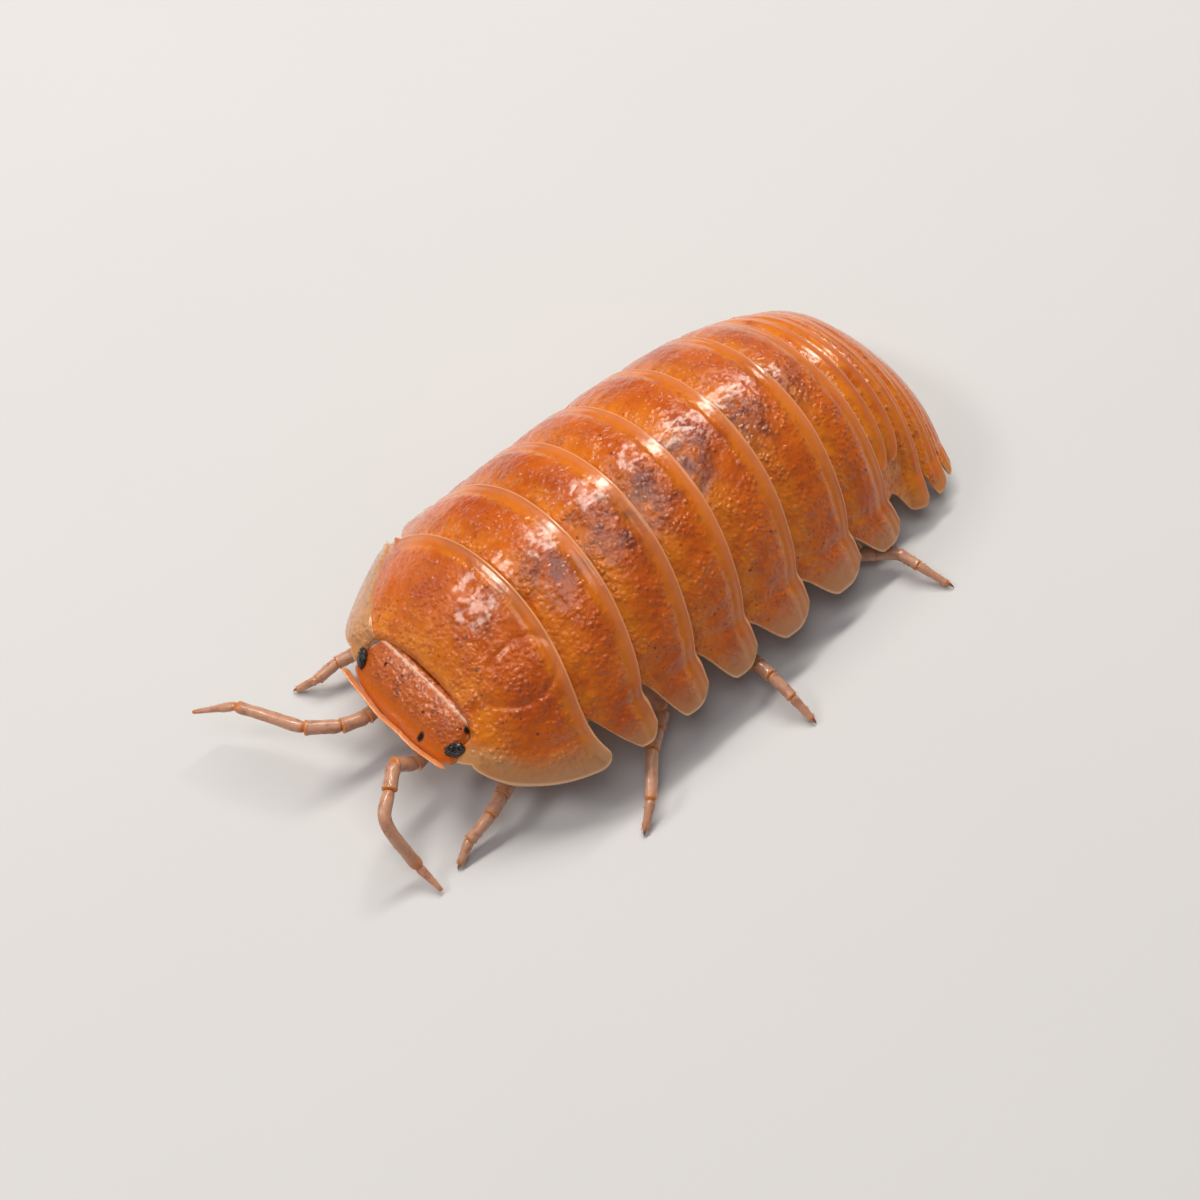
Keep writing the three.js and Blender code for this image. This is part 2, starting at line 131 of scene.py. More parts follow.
def cloud(points: Array, scale: float, seed: int) -> Array:
    """Smooth noise from -1 to 1: hashed lattice values, blended between a cell's eight corners.

    Args:
        points: Places in mm, with the last axis x, y, z.
        scale: Size of a cell in mm.
        seed: Picks the pattern.

    Returns:
        One value per place.
    """
    scaled = points / scale
    cell = np.floor(scaled).astype(np.int64)
    share = scaled - cell
    share = share * share * (3.0 - 2.0 * share)
    total = np.zeros(points.shape[:-1])
    for corner in np.ndindex(2, 2, 2):
        weight = np.prod(np.where(corner, share, 1.0 - share), axis=-1)
        total += weight * lattice_hash(cell + np.array(corner), seed)
    return total * 2.0 - 1.0


def grains(points: Array, scale: float, seed: int) -> Array:
    """Rounded granules: 1 at the middle of a grain and 0 between grains, from the nearest of scattered seeds.

    Args:
        points: Places in mm, with the last axis x, y, z.
        scale: Size of a cell in mm.
        seed: Picks the pattern.

    Returns:
        One height per place.
    """
    scaled = points / scale
    cell = np.floor(scaled).astype(np.int64)
    nearest = np.full(points.shape[:-1], 9.0)
    for step in np.ndindex(3, 3, 3):
        there = cell + np.array(step) - 1
        jitter = np.stack([lattice_hash(there, seed + axis) for axis in range(3)], axis=-1)
        nearest = np.minimum(nearest, np.sum((there + jitter - scaled) ** 2, axis=-1))
    return np.clip(1.0 - nearest * 2.2, 0.0, 1.0)


# ---------------------------------------------------------------- the frame and meshes


@dataclass(frozen=True)
class Ground:
    """Where the animal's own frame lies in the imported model, read from its two eyes."""

    eye_middle: tuple[float, float, float] = (0.0, -9.28, 2.52)

    def shift(self) -> Array:
        """The step, in mm, from the animal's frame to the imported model's."""
        corners = [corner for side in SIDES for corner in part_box(f"eye_{side}")]
        return np.mean([list(c) for c in corners], axis=0) / MM - np.array(self.eye_middle)


SHIFT = Ground().shift()


@dataclass
class Sheet:
    """Points of a surface with its faces, and named values that the finishes read."""

    points: Array
    faces: Array
    values: dict[str, Array] = field(default_factory=dict)

    def joined(self, other: "Sheet") -> "Sheet":
        """This sheet and another as one. Both carry the same named values.

        Args:
            other: The sheet to add.

        Returns:
            Both as one sheet.
        """
        values = {name: np.concatenate([self.values[name], other.values[name]]) for name in self.values}
        faces = np.concatenate([self.faces, other.faces + len(self.points)])
        return Sheet(np.concatenate([self.points, other.points]), faces, values)

    def piece(self, name: str, finish: bpy.types.Material, slot: Slot, stands_for: tuple[str, ...] = ()) -> Any:
        """Makes the Blender object, rides it on the root body and hides the CAD nodes that it stands for.

        Args:
            name: The piece's name.
            finish: Its material.
            slot: Not used.
            stands_for: The CAD nodes that it replaces.

        Returns:
            The object.
        """
        mesh = bpy.data.meshes.new(name)
        placed = (self.points + SHIFT) * MM
        mesh.from_pydata(placed.tolist(), [], [tuple(dict.fromkeys(f)) for f in self.faces.tolist()])
        for key, numbers in self.values.items():
            layer = mesh.attributes.new(key, "FLOAT", "POINT")
            layer.data.foreach_set("value", np.ascontiguousarray(numbers, dtype=np.float32))
        mesh.polygons.foreach_set("use_smooth", np.ones(len(mesh.polygons), dtype=bool))
        mesh.update()
        mesh.materials.append(finish)
        made = bpy.data.objects.new(name, mesh)
        bpy.context.scene.collection.objects.link(made)
        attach(made, ROOT)
        if stands_for:
            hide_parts(*stands_for)
        LOG.info("%s: %d faces", name, len(self.faces))
        return made


def grid_faces(rows: int, columns: int, wrap: bool = False) -> Array:
    """Quads of a grid of rows by columns, as index rows; with wrap the last column meets the first.

    Args:
        rows: Rows of points.
        columns: Points in a row.
        wrap: Joins the last column to the first.

    Returns:
        Four point numbers per face.
    """
    row = np.arange(rows - 1)[:, None]
    column = np.arange(columns if wrap else columns - 1)[None, :]
    beside = (column + 1) % columns
    here, below = row * columns, (row + 1) * columns
    corners = (here + column, here + beside, below + beside, below + column)
    return np.stack(np.broadcast_arrays(*corners), axis=-1).reshape(-1, 4)


def shell_sheet(outer: Array, inner: Array, values: dict[str, Array]) -> Sheet:
    """A closed thin shell: two grids that share their boundary, where the wall's thickness is nothing.

    Args:
        outer: Grid of rows by columns of points, whose boundary is the shell's edge.
        inner: The same for the inner face, with the same boundary.
        values: Named grids of numbers, kept for both faces.

    Returns:
        The closed sheet, faces outwards.
    """
    rows, columns = outer.shape[:2]
    inside = np.zeros((rows, columns), dtype=bool)
    inside[1:-1, 1:-1] = True
    numbers = np.arange(rows * columns).reshape(rows, columns)
    below = numbers.copy()
    below[inside] = rows * columns + np.arange(inside.sum())
    faces = grid_faces(rows, columns)
    under = below.reshape(-1)[faces][:, ::-1]
    points = np.concatenate([outer.reshape(-1, 3), inner[inside]])
    kept = {name: np.concatenate([grid.reshape(-1), grid[inside]]) for name, grid in values.items()}
    sheet = Sheet(points, np.concatenate([faces, under]), kept)
    return outwards(sheet)


def outwards(sheet: Sheet) -> Sheet:
    """Turns a closed sheet's faces round if the volume that they enclose comes out negative.

    Args:
        sheet: A closed sheet of quads.

    Returns:
        The sheet with its faces pointing out.
    """
    corner = sheet.points[sheet.faces]
    first = np.einsum("ij,ij->i", corner[:, 0], np.cross(corner[:, 1], corner[:, 2]))
    second = np.einsum("ij,ij->i", corner[:, 0], np.cross(corner[:, 2], corner[:, 3]))
    if np.sum(first + second) < 0:
        return Sheet(sheet.points, sheet.faces[:, ::-1], sheet.values)
    return sheet


def loft_sheet(rings: Array, values: dict[str, Array]) -> Sheet:
    """A closed body over rings of equally many points, with its first and last ring drawn to a pole.

    Args:
        rings: Grid of rings by points by x, y, z.
        values: Named grids of numbers, rings by points.

    Returns:
        The closed sheet, faces outwards.
    """
    count, around = rings.shape[:2]
    poles = np.stack([rings[0].mean(axis=0), rings[-1].mean(axis=0)])
    step = np.arange(around)
    beside = (step + 1) % around
    first = np.stack([beside, step, np.full(around, count * around), np.full(around, count * around)], axis=-1)
    base = (count - 1) * around
    end = np.full(around, count * around + 1)
    last = np.stack([base + step, base + beside, end, end], axis=-1)
    points = np.concatenate([rings.reshape(-1, 3), poles])
    kept = {
        name: np.concatenate([grid.reshape(-1), [grid[0].mean(), grid[-1].mean()]]) for name, grid in values.items()
    }
    return outwards(Sheet(points, np.concatenate([grid_faces(count, around, wrap=True), first, last]), kept))


# ---------------------------------------------------------------- the dorsal arch


@dataclass(frozen=True)
class Rim:
    """One rear rim: its place and height on the back, its side lobes, half width, flare and rake."""

    y: float
    top: float
    lobe: float
    half: float
    flare: float
    lead: float
    sweep: float = 0.0
    power: float = 0.85


RIMS = (
    Rim(-8.45, 3.2, 2.15, 2.25, 0.45, -1.05, 0.0, 0.42),
    Rim(-5.72, 5.28, 1.8, 3.95, 1.15, -1.1, 0.8),
    Rim(-3.69, 5.67, 1.6, 4.15, 1.08, -1.2, 0.25),
    Rim(-1.8, 5.85, 1.44, 4.22, 1.05, -1.15, 0.18),
    Rim(0.0, 5.86, 1.32, 4.25, 1.05, -1.08, 0.18),
    Rim(2.05, 5.75, 1.19, 4.23, 1.05, -1.0, 0.18),
    Rim(4.13, 5.38, 1.05, 4.16, 1.02, -0.85, 0.2),
    Rim(5.75, 4.66, 0.96, 4.0, 1.0, -0.65, 0.25),
    Rim(6.38, 4.36, 0.92, 3.85, 0.9, -0.75, 0.1),
    Rim(6.98, 4.02, 0.82, 3.78, 1.0, -0.85),
    Rim(7.68, 3.52, 0.72, 3.74, 1.08, -0.95),
    Rim(8.35, 2.88, 0.72, 3.62, 1.1, -0.7),
    Rim(8.88, 2.15, 0.7, 3.25, 1.0, -0.6),
    Rim(9.25, 1.15, 0.68, 2.5, 0.3, -0.45),
)
TRUNK_PLATES = 7
TAIL_PLATES = 5


class Arch:
    """The smooth dorsal arch that all plates follow, by place along the body and place across it.

    Place 0 is the front of the first plate and place n the rear rim of plate n. Across runs from -1 at the right
    lobe over 0 on the back to 1 at the left lobe. With angle = |across| 90 degrees and drop = 1 - cos(angle)^power:
    x = half sin(angle) + flare |across|^6, y = y of the rim + lead drop + sweep |across|^10, and z falls from the
    top to the lobe's height with drop. Ahead of place 0 the arch draws in and sinks, by 3 and 2.5 mm for a place.
    """

    def __init__(self, rims: tuple[Rim, ...]) -> None:
        """Keeps the rims as one table."""
        self.names = ("y", "top", "lobe", "half", "flare", "lead", "sweep", "power")
        self.table = np.array([[getattr(rim, name) for name in self.names] for rim in rims])

    def sizes(self, place: Array) -> dict[str, Array]:
        """The arch's sizes at places along the body, straight between the rims but swelling along the first.

        Args:
            place: Places along the body, one unit from rim to rim.

        Returns:
            The sizes by name, one value per place.
        """
        row = np.clip(np.floor(place), 0, len(self.table) - 2).astype(int)
        share = place - row
        first = row == 0
        safe = np.clip(share, 0.0, 1.0)
        swells = {
            "top": safe**0.75,
            "half": safe**0.62,
            "flare": np.sin(safe * np.pi / 2),
            "power": np.sqrt(safe),
        }
        made = {}
        for column, name in enumerate(self.names):
            by = np.where(first, swells.get(name, share), share)
            made[name] = blend(self.table[row, column], self.table[row + 1, column], by)
        made["lobe"] = made["lobe"] - np.where(first, 0.4 * np.sin(np.pi * safe), 0.0)
        ahead = np.minimum(place, 0.0)
        made["half"] = made["half"] + 3.0 * ahead
        made["top"] = made["top"] + 2.5 * ahead
        made["lobe"] = made["lobe"] + 2.5 * ahead
        return made

    def point(self, place: Array, across: Array) -> Array:
        """Points of the arch, by the formula above.

        Args:
            place: Places along the body, one unit from rim to rim.
            across: Places across the arch, -1 to 1.

        Returns:
            Points in mm, with the last axis x, y, z.
        """
        place, across = np.broadcast_arrays(np.asarray(place, float), np.asarray(across, float))
        size = self.sizes(place)
        side = np.abs(across)
        angle = side * np.pi / 2
        drop = 1.0 - np.maximum(np.cos(angle), 0.0) ** size["power"]
        x = np.sign(across) * (size["half"] * np.sin(angle) + size["flare"] * side**6)
        y = size["y"] + size["lead"] * drop + size["sweep"] * side**10
        z = size["top"] - (size["top"] - size["lobe"]) * drop
        return np.stack([x, y, z], axis=-1)

    def normal(self, place: Array, across: Array) -> Array:
        """Outward direction, square to the arch across the body.

        Args:
            place: Places along the body, one unit from rim to rim.
            across: Places across the arch, -1 to 1.

        Returns:
            Directions of length 1.
        """
        inner = np.clip(across, -0.985, 0.985)
        tangent = self.point(place, inner + 0.01) - self.point(place, inner - 0.01)
        return unit(np.stack([-tangent[..., 2], np.zeros_like(tangent[..., 0]), tangent[..., 0]], axis=-1))

    def under(self, place: Array, across: Array, depth: Array | float) -> Array:
        """Points below the arch by depth, in mm."""
        return self.point(place, across) - self.normal(place, across) * np.asarray(depth)[..., None]


ARCH = Arch(RIMS)


# ---------------------------------------------------------------- shader maths


class Signal:
    """A shader socket whose operators add Math nodes to its board."""

    def __init__(self, board: "Board", socket: Any) -> None:
        """Wraps one output socket of a board's tree."""
        self.board = board
        self.socket = socket

    def _math(self, operation: str, *terms: Any) -> "Signal":
        """A Math node over the terms."""
        return self.board.node("ShaderNodeMath", {"operation": operation}, dict(enumerate(terms)))

    def __add__(self, other: Any) -> "Signal":
        """Sum."""
        return self._math("ADD", self, other)

    __radd__ = __add__

    def __sub__(self, other: Any) -> "Signal":
        """Difference."""
        return self._math("SUBTRACT", self, other)

    def __rsub__(self, other: Any) -> "Signal":
        """Difference, reflected."""
        return self._math("SUBTRACT", other, self)

    def __mul__(self, other: Any) -> "Signal":
        """Product."""
        return self._math("MULTIPLY", self, other)

    __rmul__ = __mul__

    def most(self, other: Any) -> "Signal":
        """The larger of two."""
        return self._math("MAXIMUM", self, other)

    def ramp(self, start: float, end: float, low: float = 0.0, high: float = 1.0) -> "Signal":
        """Smooth step from low to high as the signal goes from start to end."""
        settings = {"interpolation_type": "SMOOTHSTEP"}
        return self.board.node("ShaderNodeMapRange", settings, {0: self, 1: start, 2: end, 3: low, 4: high})


class Board:
    """The node tree of one material."""

    def __init__(self, name: str) -> None:
        """Starts an empty tree.

        Args:
            name: The material's name.
        """
        self.material = bpy.data.materials.new(name)
        self.material.use_nodes = True
        self.tree = self.material.node_tree
        self.tree.nodes.clear()

    def node(self, kind: str, settings: dict[str, Any], sockets: dict[Any, Any], output: Any = 0) -> Signal:
        """Adds a node.

        Args:
            kind: Blender's type name.
            settings: Properties, set first.
            sockets: Input name or number to a value or a Signal.
            output: Name or number of the output that the answer wraps.

        Returns:
            The output as a Signal.
        """
        made = self.tree.nodes.new(kind)
        for name, value in settings.items():
            setattr(made, name, value)
        for key, value in sockets.items():
            if isinstance(value, Signal):
                self.tree.links.new(value.socket, made.inputs[key])
            else:
                made.inputs[key].default_value = value
        return Signal(self, made.outputs[output])

    def value(self, name: str) -> Signal:
        """A named value of the piece's mesh."""
        return self.node("ShaderNodeAttribute", {"attribute_name": name}, {}, "Fac")

    def place(self) -> Signal:
        """The place on the object in mm."""
        spot = self.node("ShaderNodeTexCoord", {}, {}, "Object")
        return self.node("ShaderNodeVectorMath", {"operation": "SCALE"}, {0: spot, "Scale": 1.0 / MM})

    def noise(self, place: Signal, scale: float, detail: float = 3.0, rough: float = 0.55) -> Signal:
        """Noise from 0 to 1 whose features are 1 / scale mm."""
        sockets = {"Vector": place, "Scale": scale, "Detail": detail, "Roughness": rough}
        return self.node("ShaderNodeTexNoise", {}, sockets, "Fac")

    def cells(self, place: Signal, scale: float, output: str = "Distance") -> Signal:
        """Cells of 1 / scale mm: the distance to the nearest seed, or the cell's own colour."""
        return self.node("ShaderNodeTexVoronoi", {}, {"Vector": place, "Scale": scale}, output)

    def mix(self, low: Any, high: Any, share: Any) -> Signal:
        """Colour mix by share."""
        return self.node("ShaderNodeMix", {"data_type": "RGBA"}, {0: share, 6: low, 7: high}, 2)

    def specks(self, place: Signal, scale: float, radius: float, rarity: float) -> Signal:
        """Scattered dots: 1 on a dot. Only cells whose own random number passes rarity hold one."""
        tone = self.node("ShaderNodeSeparateColor", {}, {0: self.cells(place, scale, "Color")}, 0)
        return self.cells(place, scale).ramp(radius, radius * 0.55) * tone.ramp(rarity, rarity + 0.02)

    def bump(self, height: Signal, distance: float, strength: float = 1.0) -> Signal:
        """A bump normal: height 1 stands distance mm proud."""
        sockets = {"Strength": strength, "Distance": distance * MM, "Height": height}
        return self.node("ShaderNodeBump", {}, sockets, "Normal")

    def finish(self, sockets: dict[str, Any]) -> bpy.types.Material:
        """Closes the tree with a Principled shader and gives the material.

        Args:
            sockets: Values and links for the shader's inputs, by name.

        Returns:
            The material.
        """
        surface = self.node("ShaderNodeBsdfPrincipled", {}, sockets)
        end = self.tree.nodes.new("ShaderNodeOutputMaterial")
        self.tree.links.new(surface.socket, end.inputs["Surface"])
        return self.material


Colour = tuple[float, float, float, float]


def rgb(red: float, green: float, blue: float) -> Colour:
    """A linear colour from sRGB numbers of 0 to 255, by the sRGB curve.

    Args:
        red: Red, 0 to 255.
        green: Green, 0 to 255.
        blue: Blue, 0 to 255.

    Returns:
        The linear colour, with an alpha of 1.
    """
    shares = np.array([red, green, blue]) / 255.0
    linear = np.where(shares <= 0.04045, shares / 12.92, ((shares + 0.055) / 1.055) ** 2.4)
    return (*map(float, linear), 1.0)


# ---------------------------------------------------------------- finishes


@dataclass(frozen=True)
class Flesh:
    """How far light spreads below a surface, and how glossy its wet film is."""

    weight: float = 0.14
    radius: tuple[float, float, float] = (1.0, 0.42, 0.12)
    scale: float = 0.4
    film: float = 0.4
    film_roughness: float = 0.13
    shine: float = 0.45

    def sockets(self) -> dict[str, Any]:
        """The constant sockets of the Principled shader."""
        return {
            "Subsurface Weight": self.weight,
            "Subsurface Radius": self.radius,
            "Subsurface Scale": self.scale * MM,
            "Coat Weight": self.film,
            "Coat Roughness": self.film_roughness,
            "Specular IOR Level": self.shine,
        }


@dataclass(frozen=True)
class Finish:
    """A material's recipe: the Principled shader's sockets, and the flesh below them."""

    flesh: Flesh | None = None

    def sockets(self, board: Board) -> dict[str, Any]:
        """The sockets that this finish sets."""
        raise NotImplementedError

    def make(self, name: str) -> bpy.types.Material:
        """Builds the material."""
        board = Board(name)
        return board.finish(self.sockets(board) | (self.flesh.sockets() if self.flesh else {}))


@dataclass(frozen=True)
class ShellFinish(Finish):
    """Glossy amber shell with rusty clouds, plum shadows of the gut, fine dark specks and pale, clear rims."""

    amber: Colour = rgb(208, 98, 4)
    rust: Colour = rgb(170, 64, 4)
    honey: Colour = rgb(226, 130, 14)
    plum: Colour = rgb(104, 44, 34)
    speck: Colour = rgb(92, 32, 12)
    cream: Colour = rgb(196, 138, 86)
    rim: Colour = rgb(240, 186, 138)
    flesh: Flesh = Flesh()

    def sockets(self, board: Board) -> dict[str, Any]:
        """Colour, roughness and bump.

        Args:
            board: The material's node tree.

        Returns:
            Values and links for the shader's inputs, by name.
        """
        place = board.place()
        clouds = board.noise(place, 0.5, 4.0)
        colour = board.mix(self.amber, self.rust, clouds.ramp(0.42, 0.7) * 0.75)
        colour = board.mix(colour, self.honey, board.value("honey") * board.noise(place, 1.7).ramp(0.2, 0.6))
        mottle = board.noise(place, 2.4, 4.0, 0.55)
        colour = board.mix(colour, self.rust, mottle.ramp(0.42, 0.72) * board.value("rough") * 0.45)
        plum = board.value("plum") * (board.noise(place, 2.0, 4.0, 0.55).ramp(0.35, 0.62) * 0.7 + 0.3)
        colour = board.mix(colour, self.plum, plum)
        patchy = board.noise(place, 1.1).ramp(0.4, 0.62) * board.value("rough")
        specks = board.specks(place, 4.2, 0.26, 0.84) * 0.75
        specks = specks.most(board.specks(place, 8.0, 0.34, 0.7) * 0.5) * patchy
        colour = board.mix(colour, self.speck, specks.most(board.value("dot") * 0.85))
        colour = board.mix(colour, self.cream, board.value("cream") * (1.0 - mottle.ramp(0.5, 0.8, 0.0, 0.3)))
        colour = board.mix(colour, self.rim, board.value("rim"))
        fine = board.noise(place, 9.0, 3.0, 0.6)
        pebble = 1.0 - board.cells(place, 5.5).ramp(0.05, 0.6)
        wrinkle = board.noise(place, 4.2, 3.0, 0.6)
        worn = board.noise(place, 0.9).ramp(0.38, 0.62, 0.35, 1.0)
        height = (fine * 0.6 + pebble * 0.7 + wrinkle) * worn * (board.value("rough") * 0.9 + 0.1)
        return {
            "Base Color": colour,
            "Roughness": fine.ramp(0.3, 0.75, 0.13, 0.28),
            "Normal": board.bump(height, 0.06, 0.9),
        }


@dataclass(frozen=True)
class HeadFinish(Finish):
    """Rust-orange, granular skin with dark freckles, pale along its rear margin."""

    skin: Colour = rgb(190, 92, 26)
    deep: Colour = rgb(146, 62, 16)
    amber: Colour = rgb(202, 100, 6)
    freckle: Colour = rgb(92, 36, 26)
    spot: Colour = rgb(22, 12, 10)
    pale: Colour = rgb(236, 186, 156)
    flesh: Flesh = Flesh(0.14, (1.0, 0.42, 0.12), 0.3, 0.25, 0.12)

    def sockets(self, board: Board) -> dict[str, Any]:
        """Colour, roughness and bump.

        Args:
            board: The material's node tree.

        Returns:
            Values and links for the shader's inputs, by name.
        """
        place = board.place()
        tone = board.noise(place, 2.4, 5.0, 0.65)
        colour = board.mix(self.skin, self.deep, tone.ramp(0.45, 0.72) * 0.8)
        colour = board.mix(colour, self.amber, board.value("amber"))
        freckles = board.specks(place, 5.0, 0.36, 0.66) * (board.value("rough") * 0.8 + 0.1)
        colour = board.mix(colour, self.freckle, freckles)
        colour = board.mix(colour, self.spot, board.value("dot"))
        colour = board.mix(colour, self.pale, board.value("pale"))
        grain = 1.0 - board.cells(place, 8.0).ramp(0.05, 0.55)
        height = (grain * 0.6 + board.noise(place, 11.0) * 0.6) * (board.value("rough") * 0.8 + 0.2)
        return {
            "Base Color": colour,
            "Roughness": tone.ramp(0.3, 0.7, 0.2, 0.36),
            "Normal": board.bump(height, 0.035, 0.9),
        }


@dataclass(frozen=True)
class LimbFinish(Finish):
    """Clear, mauve-brown cuticle that turns amber and paler round the joints."""

    mauve: Colour = rgb(196, 146, 118)
    amber: Colour = rgb(200, 118, 48)
    deep: Colour = rgb(152, 98, 74)
    flesh: Flesh = Flesh(0.4, (1.0, 0.4, 0.2), 0.3, 0.4, 0.1)

    def sockets(self, board: Board) -> dict[str, Any]:
        """Colour, roughness and bump.

        Args:
            board: The material's node tree.

        Returns:
            Values and links for the shader's inputs, by name.
        """
        place = board.place()
        tone = board.noise(place, 3.5, 4.0, 0.6)
        colour = board.mix(self.mauve, self.deep, tone.ramp(0.45, 0.75) * 0.8)
        colour = board.mix(colour, self.amber, board.value("joint"))
        height = board.noise(place, 9.0, 4.0, 0.6) + board.cells(place, 8.0) * 0.5
        return {
            "Base Color": colour,
            "Roughness": tone.ramp(0.3, 0.7, 0.3, 0.46),
            "Normal": board.bump(height, 0.012, 0.7),
        }


@dataclass(frozen=True)
class EyeFinish(Finish):
    """Wet black facets with a faint brown bloom."""

    black: Colour = rgb(14, 11, 12)
    brown: Colour = rgb(44, 26, 24)

    def sockets(self, board: Board) -> dict[str, Any]:
        """Colour and gloss."""
        tone = board.noise(board.place(), 6.0)
        return {
            "Base Color": board.mix(self.black, self.brown, tone.ramp(0.45, 0.8)),
            "Roughness": tone.ramp(0.3, 0.7, 0.1, 0.22),
            "Coat Weight": 0.6,
            "Coat Roughness": 0.05,
        }


@dataclass(frozen=True)
class UnderFinish(Finish):
    """Soft, pale skin of the belly and gill plates, faintly mottled and creased."""

    pale: Colour = rgb(214, 168, 128)
    warm: Colour = rgb(186, 116, 72)
    flesh: Flesh = Flesh(0.45, (1.0, 0.45, 0.25), 0.4, 0.2, 0.3)

    def sockets(self, board: Board) -> dict[str, Any]:
        """Colour, roughness and bump.

        Args:
            board: The material's node tree.

        Returns:
            Values and links for the shader's inputs, by name.
        """
        place = board.place()
        tone = board.noise(place, 1.6, 5.0, 0.6)
        crease = board.noise(place, 6.0, 5.0, 0.65)
        return {
            "Base Color": board.mix(self.pale, self.warm, tone.ramp(0.35, 0.7)),
            "Roughness": tone.ramp(0.3, 0.7, 0.42, 0.56),
            "Normal": board.bump(crease, 0.025, 0.7),
        }


@dataclass(frozen=True)
class ClawFinish(Finish):
    """Horny claw: amber at its root, dark brown at its tip."""

    root: Colour = rgb(170, 108, 66)
    tip: Colour = rgb(66, 34, 22)

    def sockets(self, board: Board) -> dict[str, Any]:
        """Colour and gloss."""
        streak = board.noise(board.place(), 12.0, 3.0)
        return {
            "Base Color": board.mix(self.root, self.tip, board.value("joint") * 0.8 + streak * 0.2),
            "Roughness": streak.ramp(0.3, 0.7, 0.24, 0.36),
            "Coat Weight": 0.3,
        }


@dataclass(frozen=True)
class FloorFinish(Finish):
    """Pale matt paper."""

    paper: Colour = rgb(212, 212, 214)

    def sockets(self, board: Board) -> dict[str, Any]:
        """Colour and roughness.

        Args:
            board: The material's node tree.

        Returns:
            Values and links for the shader's inputs, by name.
        """
        tone = board.noise(board.place(), 0.08)
        low = tuple(0.97 * part for part in self.paper[:3]) + (1.0,)
        return {"Base Color": board.mix(low, self.paper, tone), "Roughness": 0.8}


class Finishes:
    """Every material, made once."""

    def __init__(self) -> None:
        """Builds them."""
        self.shell = ShellFinish().make("amber_shell")
        self.head = HeadFinish().make("granular_skin")
        # The ridge's skin is a paler copy of the head's skin: a painted highlight, standing for the glint along the
        # blade.
        self.ridge = HeadFinish(
            skin=rgb(222, 144, 88), deep=rgb(196, 104, 46), freckle=rgb(190, 110, 80)
        ).make("ridge_painted_glint")
        self.limb = LimbFinish().make("clear_cuticle")
        self.eye = EyeFinish().make("black_facets")
        self.under = UnderFinish().make("belly_skin")
        self.claw = ClawFinish().make("horn")
        self.floor = FloorFinish().make("pale_paper")


# ---------------------------------------------------------------- shell plates


def sink(along: Array, step: float) -> Array:
    """Depth of a plate below the smooth arch: step (1 - along)^2.4 - 0.06 sin(pi along)."""
    share = np.clip(along, 0.0, 1.0)
    return step * (1.0 - share) ** 2.4 - 0.06 * np.sin(np.pi * share)


def wall_share(edge: Array, wall: Array) -> Array:
    """Share of the wall's thickness at a distance from the plate's edge: a half round of the wall's own height."""
    near = np.clip(edge / (wall * 0.5), 0.0, 1.0)
    return np.sqrt(1.0 - (1.0 - near) ** 2)


